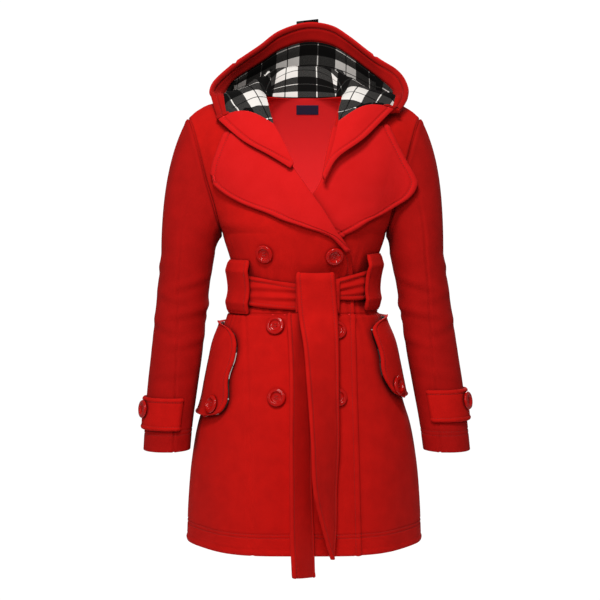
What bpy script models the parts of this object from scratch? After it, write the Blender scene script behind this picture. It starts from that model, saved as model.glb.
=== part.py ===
"""Hooded, belted, double-breasted cloth coat, filled out as it is when worn.

The frame: X to the viewer's right, Y to the back, Z up; the origin is on the body's
centre plane, level with the seam at the back of the neck. Every table below is in
millimetres, and one function turns them to metres when a mesh is made.

The coat is a set of cut pieces. Each piece is a wall of cloth: a grid of points on its
outer face, the same grid moved in by the cloth's thickness, and a rim that joins them.
The torso is one surface worked out from a table of sections; the fronts, the back, the
lapels, the belt and the pocket flaps are all read from it, each at its own height.
"""

import math

import bpy
import numpy as np

MM = 0.001

# Cloth and stacking -----------------------------------------------------------------
CLOTH = 2.6  # one layer of the coating
DOUBLE = 4.6  # two layers turned and pressed: lapels, flaps, belt, tabs
LINING = 1.2
SEAM = 0.3  # parting of two pieces that are sewn to each other
LAY = 0.9  # parting of a piece from the one that it lies on

# Heights of the body ------------------------------------------------------------------
NECK = 20.0
SHOULDER = -17.0
UNDERARM = -215.0
WAIST = -313.0
HEM = -740.0
SECTION_POWER = 2.3  # squareness of a section: 2 is an ellipse


class Table:
    """Rows of named columns, read smoothly at any value of the first column."""

    def __init__(self, columns, rows):
        values = np.array(sorted(rows), float)
        self.key = values[:, 0]
        self.columns = {name: values[:, i] for i, name in enumerate(columns)}

    def at(self, column, key):
        xs, ys = self.key, self.columns[column]
        slopes = np.gradient(ys, xs)
        key = float(np.clip(key, xs[0], xs[-1]))
        i = int(np.clip(np.searchsorted(xs, key) - 1, 0, len(xs) - 2))
        step = xs[i + 1] - xs[i]
        t = (key - xs[i]) / step
        return (
            (2 * t**3 - 3 * t**2 + 1) * ys[i]
            + (t**3 - 2 * t**2 + t) * step * slopes[i]
            + (3 * t**2 - 2 * t**3) * ys[i + 1]
            + (t**3 - t**2) * step * slopes[i + 1]
        )


def smooth_step(value, low, high):
    t = np.clip((value - low) / (high - low), 0.0, 1.0)
    return t * t * (3 - 2 * t)


# The torso -----------------------------------------------------------------------------
TORSO = Table(
    ("height", "half_width", "front", "back"),
    (
        (20, 139, 50, 42),
        (-17, 139, 76, 68),
        (-60, 139, 98, 90),
        (-110, 139, 114, 104),
        (-160, 139, 122, 110),
        (-215, 139, 124, 108),
        (-262, 124, 113, 98),
        (-290, 117.5, 104, 91),
        (-313, 116, 101, 89),
        (-345, 124.5, 104, 94),
        (-370, 135.5, 110, 102),
        (-399, 148, 118, 110),
        (-433, 156, 125, 119),
        (-468, 163, 131, 127),
        (-500, 169, 136, 134),
        (-537, 180, 140, 140),
        (-605, 191, 146, 148),
        (-674, 196, 150, 153),
        (-740, 198, 152, 156),
    ),
)
ARMHOLE = Table(
    ("height", "side", "front", "back"),
    (
        (-17, 198, 0, 0),
        (-28, 193, 16, 18),
        (-55, 184, 34, 38),
        (-90, 174, 47, 52),
        (-125, 165, 53, 59),
        (-160, 154, 53, 58),
        (-185, 147, 46, 49),
        (-203, 142, 30, 33),
        (-215, 139, 0, 0),
    ),
)
SHOULDER_SEAM = Table(
    ("height", "side", "depth"),
    ((20, 66, 8), (13, 124, 7), (6, 160, 5), (-4, 182, 2), (-17, 198, 0)),
)
FLARE_WAVES = 3  # soft folds in each half of the skirt
FLARE_DEPTH = 3.5  # how far they stand at the hem


def side_of(z, front):
    """(x, y) of a section's end: side seam, armhole or shoulder seam, by its height."""
    if z <= UNDERARM:
        return TORSO.at("half_width", z), 0.0
    if z <= SHOULDER:
        y = ARMHOLE.at("front" if front else "back", z)
        return ARMHOLE.at("side", z), -y if front else y
    return SHOULDER_SEAM.at("side", z), SHOULDER_SEAM.at("depth", z)


def start_angle(z):
    """Where a section begins, in degrees: 0 at a side seam, more at the armhole."""
    return 42.0 * smooth_step(z, UNDERARM, -150.0) + 18.0 * smooth_step(z, -60.0, SHOULDER)


def torso_point(angle, z):
    """A point of the torso. The angle runs from the right side by the front to the left."""
    angle %= 360.0
    front = angle <= 180.0
    turn = math.radians(angle)
    side_x, side_y = side_of(z, front)
    start = math.radians(start_angle(z))
    power = 2.0 / SECTION_POWER
    cos, sin = math.cos(turn), abs(math.sin(turn))
    x = side_x * math.copysign(abs(cos) ** power, cos) / math.cos(start) ** power
    depth = -TORSO.at("front", z) if front else TORSO.at("back", z)
    share = (sin**power - math.sin(start) ** power) / (1 - math.sin(start) ** power)
    y = side_y + (depth - side_y) * share
    wave = FLARE_DEPTH * smooth_step(-z, 430.0, 740.0) * math.cos(2 * FLARE_WAVES * turn)
    return np.array([x * (1 + wave / 190.0), y * (1 + wave / 150.0), z])


def torso_normal(angle, z):
    around = torso_point(angle + 0.5, z) - torso_point(angle - 0.5, z)
    low, high = max(z - 2.0, HEM), min(z + 2.0, NECK)
    along = torso_point(angle, high) - torso_point(angle, low)
    normal = np.cross(along, around)
    return normal / np.linalg.norm(normal)


def on_torso(angle, z, height=0.0):
    return torso_point(angle, z) + height * torso_normal(angle, z)


def angle_at(x, z):
    """The angle of the torso's front at this x."""
    side_x, _ = side_of(z, True)
    start = math.cos(math.radians(start_angle(z)))
    share = min(abs(x) / side_x, 1.0) ** (SECTION_POWER / 2.0) * start
    return math.degrees(math.acos(math.copysign(share, x)))


def on_front(x, z, height=0.0):
    """The torso's front over (x, z). Past the last stretch of a section it runs on straight."""
    side_x, _ = side_of(z, True)
    limit = 0.9 * side_x
    if abs(x) <= limit:
        return on_torso(angle_at(x, z), z, height)
    edge = math.copysign(limit, x)
    inner = on_torso(angle_at(edge * 0.96, z), z, height)
    outer = on_torso(angle_at(edge, z), z, height)
    slope = (outer - inner) / (outer[0] - inner[0])
    return outer + slope * (x - outer[0]) * np.array([1.0, 0.4, 1.0])


# Cloth walls ---------------------------------------------------------------------------
def srgb(code):
    def linear(value):
        return value / 12.92 if value <= 0.04045 else ((value + 0.055) / 1.055) ** 2.4

    return tuple(linear(int(code[i : i + 2], 16) / 255) for i in (1, 3, 5)) + (1.0,)


def material(name, code, roughness):
    made = bpy.data.materials.new(name)
    made.use_nodes = True
    shader = made.node_tree.nodes["Principled BSDF"]
    shader.inputs["Base Color"].default_value = srgb(code)
    shader.inputs["Roughness"].default_value = roughness
    made.diffuse_color = srgb(code)
    return made


def grid_normals(grid, closed):
    if closed:
        around = np.roll(grid, -1, axis=1) - np.roll(grid, 1, axis=1)
    else:
        around = np.gradient(grid, axis=1)
    along = np.gradient(grid, axis=0)
    normals = np.cross(along, around)
    return normals / np.maximum(np.linalg.norm(normals, axis=2, keepdims=True), 1e-9)


def inner_face(grid, thickness, closed=False, guards=None, flip=False):
    """The grid moved in by the thickness. A guard is a direction that a rim point must not move in."""
    shift = -grid_normals(grid, closed) * (-1 if flip else 1)
    if guards is not None:
        over = np.maximum((shift * guards).sum(axis=2, keepdims=True), 0.0)
        shift = shift - over * guards
    return grid + shift * thickness


def box_faces(rows, columns, closed):
    """Faces of a wall whose outer grid is numbered first and whose inner grid is second."""
    count = rows * columns
    across = columns if closed else columns - 1

    def at(row, column, inner):
        return row * columns + column % columns + count * inner

    faces = []
    for row in range(rows - 1):
        for column in range(across):
            corners = ((row, column), (row, column + 1), (row + 1, column + 1), (row + 1, column))
            for half in ((0, 1, 2), (0, 2, 3)):  # one diagonal everywhere, so that layers nest
                faces.append([at(*corners[k], 0) for k in half])
                faces.append([at(*corners[k], 1) for k in reversed(half)])
    for column in range(across):
        for row, order in ((0, 1), (rows - 1, -1)):
            rim = [at(row, column + 1, 0), at(row, column, 0), at(row, column, 1), at(row, column + 1, 1)]
            faces.append(rim[::order])
    if not closed:
        for row in range(rows - 1):
            for column, order in ((0, 1), (columns - 1, -1)):
                rim = [at(row, column, 0), at(row + 1, column, 0), at(row + 1, column, 1), at(row, column, 1)]
                faces.append(rim[::order])
    return faces


def signed_volume(points, faces):
    total = 0.0
    for face in faces:
        for i in range(1, len(face) - 1):
            total += np.dot(points[face[0]], np.cross(points[face[i]], points[face[i + 1]]))
    return total / 6


def solid(name, points, faces, skin):
    points = np.asarray(points, float)
    if signed_volume(points, faces) < 0:
        faces = [face[::-1] for face in faces]
    mesh = bpy.data.meshes.new(name)
    mesh.from_pydata((points * MM).tolist(), [], faces)
    mesh.shade_smooth()
    mesh.set_sharp_from_angle(angle=math.radians(50))
    mesh.materials.append(skin)
    made = bpy.data.objects.new(name, mesh)
    coat.objects.link(made)
    return made


def wall(name, grid, thickness, skin, closed=False, guards=None, flip=False):
    grid = np.asarray(grid, float)
    inner = inner_face(grid, thickness, closed, guards, flip)
    rows, columns = grid.shape[:2]
    points = np.concatenate([grid.reshape(-1, 3), inner.reshape(-1, 3)])
    return solid(name, points, box_faces(rows, columns, closed), skin)


def facing_out(grid, away_from, closed=False):
    """True where the grid's own normals point to the point that the outer face looks away from."""
    return float(((grid - np.array(away_from, float)) * grid_normals(grid, closed)).sum()) < 0


def layer(name, face, backing, skin):
    """A wall between two grids of the same size."""
    rows, columns = face.shape[:2]
    points = np.concatenate([face.reshape(-1, 3), backing.reshape(-1, 3)])
    return solid(name, points, box_faces(rows, columns, False), skin)


BEHIND = (0.0, 400.0, -300.0)  # a point well behind the front: outer faces look away from it
AXIS = (0.0, 0.0, -300.0)


# Collections and cloths ----------------------------------------------------------------
for old in list(bpy.data.objects):
    bpy.data.objects.remove(old, do_unlink=True)
coat = bpy.data.collections.new("hooded_coat")
bpy.context.scene.collection.children.link(coat)

red_fleece = material("red coating", "#C01715", 0.95)
check_flannel = material("check flannel", "#4A4644", 0.95)
red_button = material("red polyester button", "#B40F10", 0.25)
navy_tape = material("navy label tape", "#24264A", 0.8)


# Fronts and back ---------------------------------------------------------------------------
ROWS = (20, 11, 2, -8, -17, -28, -55, -90, -125, -160, -185, -203, -215, -230, -250, -280, -313)
ROWS += (-342, -364, -390, -430, -475, -525, -580, -640, -690, HEM)
OVER_EDGE = Table(
    ("height", "x"),
    (
        (20, -60),
        (-30, -52),
        (-70, -36),
        (-108, -20),
        (-158, 14),
        (-200, 40),
        (-236, 67),
        (-255, 73),
        (-313, 79),
        (-500, 85),
        (-740, 90),
    ),
)
UNDER_EDGE = Table(
    ("height", "x"),
    (
        (20, 60),
        (-30, 52),
        (-70, 45),
        (-100, 38),
        (-129, 29),
        (-158, 13),
        (-200, -16),
        (-236, -40),
        (-262, -54),
        (-313, -57),
        (-740, -60),
    ),
)
OVERLAP_LIFT = CLOTH + LAY
LAPEL_LIFT = DOUBLE + 1.3 * LAY


def over_height(x, z):
    """How far the over front's outer face stands off the torso: it crosses the other front and lapel."""
    edge = UNDER_EDGE.at("x", z)
    overlap = smooth_step(x, edge - 112, edge - 14)
    crossing = smooth_step(z, -285, -240) * smooth_step(x - OVER_EDGE.at("x", z), -75, -30)
    return overlap * (OVERLAP_LIFT + (LAPEL_LIFT + 2.0 * LAY) * crossing)


def flat_rest(x, z):
    """The under front lies on the torso itself."""
    return 0.0


def front_height(x, z):
    """The height that a piece across both fronts rests on."""
    return over_height(x, z) * (1 - smooth_step(x - OVER_EDGE.at("x", z), 8, 50))


def seam_guards(rows, front, left):
    """Directions across the side, armhole and shoulder seams that a rim must not lean in."""
    guards = []
    for z in rows:
        if UNDERARM < z < SHOULDER:
            guards.append((-1.0 if left else 1.0, 0.0, 0.0))
        else:
            guards.append((0.0, 1.0 if front else -1.0, 0.0))
    return np.array(guards)


def front_panel(name, left, edge, height, columns):
    guards = np.zeros((len(ROWS), columns, 3))
    guards[:, 0] = seam_guards(ROWS, True, left)
    grid = np.empty((len(ROWS), columns, 3))
    for row, z in enumerate(ROWS):
        begin = 180.0 - start_angle(z) if left else start_angle(z)
        end = angle_at(edge.at("x", z), z)
        for column, angle in enumerate(np.linspace(begin, end, columns)):
            x = torso_point(angle, z)[0]
            grid[row, column] = on_torso(angle, z, height(x, z))
        grid[row, 0] = torso_point(begin, z)
    grid[:, :, 1] -= SEAM / 2
    return wall(name, grid, CLOTH, red_fleece, guards=guards, flip=facing_out(grid, AXIS))


def back_panel(columns=23):
    guards = np.zeros((len(ROWS), columns, 3))
    guards[:, 0] = seam_guards(ROWS, False, True)
    guards[:, -1] = seam_guards(ROWS, False, False)
    grid = np.empty((len(ROWS), columns, 3))
    for row, z in enumerate(ROWS):
        start = start_angle(z)
        for column, angle in enumerate(np.linspace(180.0 + start, 360.0 - start, columns)):
            grid[row, column] = torso_point(min(angle, 359.999), z)
    grid[:, :, 1] += SEAM / 2
    return wall("back", grid, CLOTH, red_fleece, guards=guards, flip=facing_out(grid, AXIS))


back_panel()
front_panel("front_over", True, OVER_EDGE, over_height, 16)
front_panel("front_under", False, UNDER_EDGE, flat_rest, 14)


# Sleeves -----------------------------------------------------------------------------------
SLEEVE = Table(
    ("height", "centre", "half_width", "half_depth", "forward"),
    (
        (-250, 199, 46.0, 56, 0),
        (-300, 206, 44.5, 53, 1),
        (-360, 212, 44.0, 50, 6),
        (-420, 218, 43.8, 47, 14),
        (-480, 225, 42.8, 45, 22),
        (-540, 231, 40.8, 43, 28),
        (-582, 234, 40.0, 42, 31),
    ),
)
SLEEVE_ROWS = (-250, -280, -315, -350, -390, -435, -480, -530, -582)
CUFF = SLEEVE_ROWS[-1]
CAP_RINGS = 5
CAP_SLOPE = np.array([0.5, 0.0, -0.86])  # the way the sleeve head leaves the armhole
LEFT_SWING = (0.0, 0.0)  # added to the centres at the top and at the cuff
RIGHT_SWING = (-6.0, 9.0)  # the right sleeve hangs a little further out


def armhole_loop(left):
    """The armhole's points from the shoulder down the front to the underarm and up the back."""
    sign = -1.0 if left else 1.0
    heights = [z for z in ROWS if UNDERARM <= z <= SHOULDER]
    down = [(sign * side_of(z, True)[0], side_of(z, True)[1], z) for z in heights]
    up = [(sign * side_of(z, False)[0], side_of(z, False)[1], z) for z in heights[-2:0:-1]]
    return np.array(down + up, float)


def sleeve_ring(left, z, angles):
    sign = -1.0 if left else 1.0
    swing = np.interp(-z, (-SLEEVE_ROWS[0], -CUFF), LEFT_SWING if left else RIGHT_SWING)
    centre, half_width = SLEEVE.at("centre", z) + swing, SLEEVE.at("half_width", z)
    half_depth, forward = SLEEVE.at("half_depth", z), SLEEVE.at("forward", z)
    return np.array(
        [
            (
                sign * (centre + half_width * math.cos(a)),
                -forward - half_depth * math.sin(a),
                z,
            )
            for a in angles
        ]
    )


def sleeve_grid(left):
    loop = armhole_loop(left)
    sign = -1.0 if left else 1.0
    middle = np.array([loop[:, 0].mean(), 0.0, -110.0])
    angles = np.linspace(0, 2 * math.pi, len(loop), endpoint=False)
    top = sleeve_ring(left, SLEEVE_ROWS[0], angles)
    loop = loop + np.array([sign * SEAM, 0.0, 0.0])
    rings = []
    slope = CAP_SLOPE * np.array([sign, 1.0, 1.0])
    span = 0.32 * np.linalg.norm(top - loop, axis=1, keepdims=True)
    leave, arrive = loop + slope * span, top + np.array([0.0, 0.0, 1.0]) * span
    for t in np.linspace(0, 1, CAP_RINGS + 1)[:-1]:
        near, far = (1 - t) ** 2 * (loop * (1 - t) + 3 * t * leave), t**2 * (3 * (1 - t) * arrive + t * top)
        rings.append(near + far)
    rings += [sleeve_ring(left, z, angles) for z in SLEEVE_ROWS]
    radial = loop - middle
    radial[:, 0] = 0.0
    radial /= np.linalg.norm(radial, axis=1, keepdims=True)
    return np.array(rings), radial


def sleeve(name, left):
    grid, radial = sleeve_grid(left)
    axis = (grid[:, :, 0].mean(), 0.0, -300.0)
    flip = facing_out(grid, axis, closed=True)
    inner = inner_face(grid, CLOTH, closed=True, flip=flip)
    inner[0] = grid[0] - radial * CLOTH
    points = np.concatenate([grid.reshape(-1, 3), inner.reshape(-1, 3)])
    rows, columns = grid.shape[:2]
    return solid(name, points, box_faces(rows, columns, True), red_fleece)


sleeve("sleeve_left", True)
sleeve("sleeve_right", False)


# Lapels ------------------------------------------------------------------------------------
# Each row runs from the roll line, where the front folds back, to the lapel's outer edge.
LAPEL_OVER = (
    # roll x, roll z, edge x, edge z
    (-47, -52, -128, -50),
    (-38, -75, -141, -83),
    (-24, -104, -149, -112),
    (-14, -119, -144, -134),
    (0, -139, -102, -164),
    (15, -160, -56, -183),
    (28, -179, -32, -194),
    (41, -200, 2, -205),
    (55, -220, 38, -216),
    (68, -239, 63, -238),
)
LAPEL_UNDER = (
    (49, -40, 135, -38),
    (43, -64, 147, -63),
    (37, -90, 165, -90),
    (33, -111, 184, -119),
    (30, -127, 187, -134),
    (22, -143, 173, -154),
    (9, -164, 133, -179),
    (20, -181, 98, -197),
    (33, -201, 71, -213),
    (43, -212, 58, -222),
)
LAPEL_COLUMNS = 6
EDGE_LIFT = 3.0  # the turned edges spring a little off the chest
LAPEL_TUCK = 0.5  # the under lapel is pressed in where the other front covers it


def bridged(x, z, height):
    """The front's form as thick cloth bridges it, without the crease beside the right armhole."""
    plain, share = on_front(x, z, height), smooth_step(x, 95, 125)
    near = np.mean([on_front(x + step, z, height + 1.0) for step in (-16, -8, 0, 8, 16)], axis=0)
    return plain + share * (near - plain)


def lapel(name, rows, rest):
    grid = np.empty((len(rows), LAPEL_COLUMNS, 3))
    for row, (roll_x, roll_z, edge_x, edge_z) in enumerate(rows):
        for column, share in enumerate(np.linspace(0, 1, LAPEL_COLUMNS)):
            x = roll_x + (edge_x - roll_x) * share
            z = roll_z + (edge_z - roll_z) * share
            free = 1.0 if rest is over_height else smooth_step(x - OVER_EDGE.at("x", z), 8, 45)
            lift = rest(x, z) + LAPEL_LIFT + EDGE_LIFT * share * free - LAPEL_TUCK * (1 - free)
            grid[row, column] = bridged(x, z, lift)
    return wall(name, grid, DOUBLE, red_fleece, flip=facing_out(grid, BEHIND))


lapel("lapel_over", LAPEL_OVER, over_height)
lapel("lapel_under", LAPEL_UNDER, flat_rest)


# Hood --------------------------------------------------------------------------------------
# The face that shows is the inside: check lining, with a wide band of the coating at the rim.
HOOD_PLY = 1.3  # parting of the lining from the shell
HOOD_STACK = LINING + HOOD_PLY + CLOTH
HOOD_STAND = LAPEL_LIFT + LAY + HOOD_STACK + EDGE_LIFT  # its height over the chest
HOOD_ROLL = 0.06  # the front flaps swell by this share of their width
HOOD_COLUMNS = 10  # points from neck to rim
BAND_COLUMNS = 2  # the last spans, which are the band of coating at the rim
BAND_WIDTHS = (18, 22, 27, 32, 35, 36, 36, 36)  # at each section, from the front to the centre back

HOOD_LEFT_FLAP = (
    # neck x, neck z, rim x, rim z, rise of its middle
    (-17, -107, -22, -113, 0),
    (-26.5, -86, -56, -91, 1),
    (-37, -64, -97, -67, 4),
    (-49, -41, -138, -32, 13),
)
HOOD_RIGHT_FLAP = (
    (27, -124, 31, -131, 0),
    (39, -98, 50, -99, 1),
    (47, -71, 92, -67, 4),
    (53, -42, 140, -23, 12),
)
HOOD_SECTIONS = (
    # neck             fold             bag               back              rim
    ((-57, -78, -12), (-80, -78, -4), (-110, -68, -4), (-132, -58, -10), (-146, -52, -18)),
    ((-63, -54, 11), (-84, -44, 24), (-114, -34, 22), (-140, -28, 18), (-157, -22, 16)),
    ((-65, -26, 20.5), (-82, -10, 40), (-115, 10, 30), (-145, 16, 26), (-158, 2, 31)),
    ((-63, 4, 20.8), (-75, 20, 54), (-108, 46, 28), (-138, 44, 28), (-148, 26, 51)),
    ((-54, 24, 20.8), (-62, 44, 69), (-93, 98, -8), (-124, 114, 14), (-117, 58, 81)),
    ((-37, 33, 20.8), (-43, 56, 72), (-62, 122, -50), (-84, 166, 10), (-75, 86, 114)),
    ((-18, 37, 20.8), (-21, 62, 73), (-30, 134, -78), (-40, 192, 6), (-42, 101, 141)),
    ((0, 38, 20.8), (0, 66, 73), (0, 138, -86), (0, 202, 4), (4, 110, 157)),
)
RIGHT_RIMS = ((160, -48, -8), (175, -18, 13), (175, 8, 38), (160, 40, 67), (121, 70, 94), (77, 97, 132), (46, 106, 152))


def through(points, steps=12):
    """A smooth curve through the points, with this many steps to each span."""
    points = np.asarray(points, float)
    padded = np.concatenate([[2 * points[0] - points[1]], points, [2 * points[-1] - points[-2]]])
    curve = []
    for i in range(1, len(padded) - 2):
        before, start, end, after = padded[i - 1 : i + 3]
        for t in np.arange(steps) / steps:
            curve.append(
                0.5
                * (
                    2 * start
                    + (end - before) * t
                    + (2 * before - 5 * start + 4 * end - after) * t**2
                    + (3 * start - before - 3 * end + after) * t**3
                )
            )
    return np.array(curve + [points[-1]])


def spaced(curve, width):
    """The curve at the hood's columns: even ones, then the narrower ones of the band."""
    lengths = np.concatenate([[0.0], np.cumsum(np.linalg.norm(np.diff(curve, axis=0), axis=1))])
    band = min(width, 0.4 * lengths[-1])
    even = np.linspace(0, lengths[-1] - band, HOOD_COLUMNS - BAND_COLUMNS)
    marks = np.concatenate([even, np.linspace(even[-1], lengths[-1], BAND_COLUMNS + 1)[1:]])
    return np.stack([np.interp(marks, lengths, curve[:, axis]) for axis in range(3)], axis=1)


def flap_section(neck_x, neck_z, rim_x, rim_z, rise):
    section, roll = [], HOOD_ROLL * math.hypot(rim_x - neck_x, rim_z - neck_z)
    for t in np.linspace(0, 1, HOOD_COLUMNS):
        x, z = neck_x + (rim_x - neck_x) * t, neck_z + (rim_z - neck_z) * t + rise * math.sin(math.pi * t)
        height = over_height(x, z) + HOOD_STAND + roll * math.sin(math.pi * t)
        section.append(on_front(x, z, height))
    return section


def hood_grid():
    """Sections from the left tip round the back of the neck to the right tip."""
    grid = [flap_section(*row) for row in HOOD_LEFT_FLAP]
    grid += [spaced(through(section), width) for section, width in zip(HOOD_SECTIONS, BAND_WIDTHS)]
    for section, rim, width in zip(HOOD_SECTIONS[-2::-1], RIGHT_RIMS[::-1], BAND_WIDTHS[-2::-1]):
        spread = (rim[0] + section[4][0]) / 2
        mirrored = [(-x + spread * (k / 3), y, z) for k, (x, y, z) in enumerate(section[:4])]
        grid.append(spaced(through(mirrored + [rim]), width))
    grid += [flap_section(*row) for row in HOOD_RIGHT_FLAP[::-1]]
    return through(grid, 2)


def part_seam(grid, first, last, parting=0.6):
    """Pulls the named end rows in by half of a seam's parting, which is wider where cloth bends."""
    grid = grid.copy()
    for wanted, row, beside in ((first, 0, 1), (last, -1, -2)):
        if wanted:
            step = grid[beside] - grid[row]
            grid[row] += step / np.linalg.norm(step, axis=-1, keepdims=True) * parting
    return grid


def pieces_of_hood():
    face = hood_grid()
    inward = grid_normals(face, False)
    centre_back = 2 * (len(HOOD_LEFT_FLAP) + len(HOOD_SECTIONS) - 1)
    if inward[centre_back, 0] @ np.array([0.0, -1.0, 0.3]) < 0:
        inward = -inward
    over_neck = slice(2 * len(HOOD_LEFT_FLAP), -2 * len(HOOD_RIGHT_FLAP))
    inward[over_neck, 0, 2] = 0.0  # the edge that is sewn to the neck is cut level
    inward[over_neck, 0] /= np.linalg.norm(inward[over_neck, 0], axis=-1, keepdims=True)
    depths = {"face": 0.0, "lined": LINING, "shell": LINING + HOOD_PLY, "outside": HOOD_STACK}
    return {name: face - inward * depth for name, depth in depths.items()}


HOOD = pieces_of_hood()
SIDE = 2 * len(HOOD_LEFT_FLAP) - 2  # first row with lining
GUSSET = SIDE + 10  # seam between a side and the centre piece
ROW_COUNT = len(HOOD["face"])
BAND = HOOD_COLUMNS - 1 - BAND_COLUMNS  # first column of the coating band at the rim


def hood_piece(name, face, backing, rows, columns, skin, seams):
    cut = (slice(rows[0], rows[1] + 1), slice(columns[0], columns[1] + 1))
    front, back = (part_seam(HOOD[key][cut], *seams[:2]) for key in (face, backing))
    turned = [part_seam(side.transpose(1, 0, 2), *seams[2:]).transpose(1, 0, 2) for side in (front, back)]
    return layer(name, turned[0], turned[1], skin)


LAST = ROW_COUNT - 1
END = HOOD_COLUMNS - 1
for part, rows, seams in (
    ("left", (0, GUSSET), (False, True)),
    ("centre", (GUSSET, LAST - GUSSET), (True, True)),
    ("right", (LAST - GUSSET, LAST), (True, False)),
):
    hood_piece(f"hood_{part}", "shell", "outside", rows, (0, END), red_fleece, seams + (False, False))
for part, rows, seams in (
    ("left", (SIDE, GUSSET), (True, True)),
    ("centre", (GUSSET, LAST - GUSSET), (True, True)),
    ("right", (LAST - GUSSET, LAST - SIDE), (True, True)),
):
    hood_piece(f"hood_lining_{part}", "face", "lined", rows, (0, BAND), check_flannel, seams + (False, True))
hood_piece("hood_facing_left", "face", "lined", (0, SIDE), (0, END), red_fleece, (False, True, False, False))
hood_piece("hood_facing_rim", "face", "lined", (SIDE, LAST - SIDE), (BAND, END), red_fleece, (True, True, True, False))
hood_piece("hood_facing_right", "face", "lined", (LAST - SIDE, LAST), (0, END), red_fleece, (True, False, False, False))


# Belt --------------------------------------------------------------------------------------
BELT = DOUBLE
BELT_START, BELT_END = -8.0, 50.0  # x of its ends at the knot, at the left and right
BELT_LINE = Table(
    # the angle runs on past 360 degrees to the right of the knot
    ("angle", "middle", "width"),
    (
        (90, -322, 42),
        (110, -317, 46),
        (135, -311, 49),
        (180, -305, 53),
        (270, -300, 55),
        (360, -299, 53),
        (405, -303, 45),
        (430, -308, 33),
    ),
)
BELT_COLUMNS = 30
LOOP_GAP = 0.9


def band_height(angle, z):
    """The height under the belt at this angle."""
    if angle % 360.0 > 180.0:
        return 0.0
    return front_height(torso_point(angle, z)[0], z)


def belt_band():
    angles = np.linspace(angle_at(BELT_START, WAIST), 360.0 + angle_at(BELT_END, WAIST), BELT_COLUMNS)
    grid = np.empty((4, len(angles), 3))
    for column, angle in enumerate(angles):
        middle, width = BELT_LINE.at("middle", angle), BELT_LINE.at("width", angle)
        for row, share in enumerate((-0.5, -0.17, 0.17, 0.5)):
            z = middle + share * width
            crown = 2.0 * (1 - (2 * share) ** 2)
            grid[row, column] = on_torso(angle, z, band_height(angle, z) + 2 * LAY + BELT + crown)
    return wall("belt_band", grid, BELT, red_fleece, flip=facing_out(grid, AXIS))


KNOT = {"left": -13.0, "right": 54.0, "bottom": -349.0, "top": -292.0, "swell": 7.5}


def belt_knot():
    """The wrap where the ends cross: a soft block over the two ends of the band."""
    columns, rows = np.linspace(KNOT["left"], KNOT["right"], 8), np.linspace(KNOT["bottom"], KNOT["top"], 7)
    face, backing = np.empty((len(rows), len(columns), 3)), np.empty((len(rows), len(columns), 3))
    for row, z in enumerate(rows):
        for column, x in enumerate(columns):
            across = 2 * (x - KNOT["left"]) / (KNOT["right"] - KNOT["left"]) - 1
            up = 2 * (z - KNOT["bottom"]) / (KNOT["top"] - KNOT["bottom"]) - 1
            crown = (max(1 - across**4, 0.0) * max(1 - up**4, 0.0)) ** 0.5
            rest = front_height(x, z) + 2 * LAY
            backing[row, column] = on_front(x, z, rest + BELT + 2.7)
            face[row, column] = on_front(x, z, rest + BELT + 4.5 + KNOT["swell"] * crown)
    return layer("belt_knot", face, backing, red_fleece)


TAIL_FRONT = Table(
    # stand is how far the middle hangs in front of the coat; turn brings the left edge forward
    ("height", "middle", "half_width", "turn", "stand"),
    (
        (-281, 18, 29, 0, 15),
        (-288, 18, 29.5, 0, 20),
        (-300, 19, 29.5, 0, 21.8),
        (-339, 22, 30, 4, 23.1),
        (-394, 28, 30, 27, 29),
        (-450, 31, 30, 36, 34),
        (-514, 34, 30, 42, 36),
        (-550, 35, 30, 46, 36),
        (-628, 36, 30, 55, 35),
        (-690, 42, 17, 55, 29),
        (-738, 46, 3, 55, 25),
    ),
)
TAIL_BACK = Table(
    ("height", "middle", "half_width", "turn", "stand"),
    (
        (-347.2, -6, 20, 12, 14.5),
        (-360, -7, 22, 34, 18),
        (-400, -6, 24, 50, 22),
        (-480, -4, 26, 54, 26),
        (-560, -4, 27, 55, 27),
        (-640, -3, 28, 55, 28),
        (-720, -1, 29, 55, 29),
        (-772, 1, 29, 55, 30),
    ),
)


def tail(name, table, rows, columns=5, bow=1.6):
    heights = sorted(set(np.linspace(table.key[0], table.key[-1], rows)) | set(table.key[-3:]), reverse=True)
    grid = np.empty((len(heights), columns, 3))
    for row, z in enumerate(heights):
        middle, half = table.at("middle", z), table.at("half_width", z)
        turn, stand = math.radians(table.at("turn", z)), table.at("stand", z)
        surface = on_front(middle, max(z, HEM), front_height(middle, z))
        for column, share in enumerate(np.linspace(-1, 1, columns)):
            across = half * share
            out = bow * (1 - share * share)
            grid[row, column] = (
                middle + across * math.cos(turn) + out * math.sin(turn),
                surface[1] - stand + across * math.sin(turn) - out * math.cos(turn),
                z,
            )
    return wall(name, grid, BELT, red_fleece, flip=facing_out(grid, BEHIND))


def belt_loop(name, low, high, bottom, top):
    """A wide loop over the belt: it touches the coat at both ends and bridges between them."""
    shares = (0, 0.05, 0.11, 0.19, 0.5, 0.81, 0.89, 0.95, 1)
    grid = np.empty((len(shares), 4, 3))
    for row, share in enumerate(shares):
        z = top + (bottom - top) * share
        bridge = smooth_step(min(share, 1 - share), 0.0, 0.19)
        for column, angle in enumerate(np.linspace(low, high, 4)):
            height = band_height(angle, z) + 0.85 * LAY + DOUBLE + bridge * (BELT + 2.0 + LOOP_GAP + 2 * LAY)
            grid[row, column] = on_torso(angle, z, height)
    return wall(name, grid, DOUBLE, red_fleece, flip=facing_out(grid, AXIS))


belt_band()
belt_knot()
tail("belt_tail_front", TAIL_FRONT, 14)
tail("belt_tail_back", TAIL_BACK, 9)
belt_loop("belt_loop_left", 133.0, 166.0, -352.0, -258.0)
belt_loop("belt_loop_right", 40.0, 12.0, -346.0, -248.0)


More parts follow.
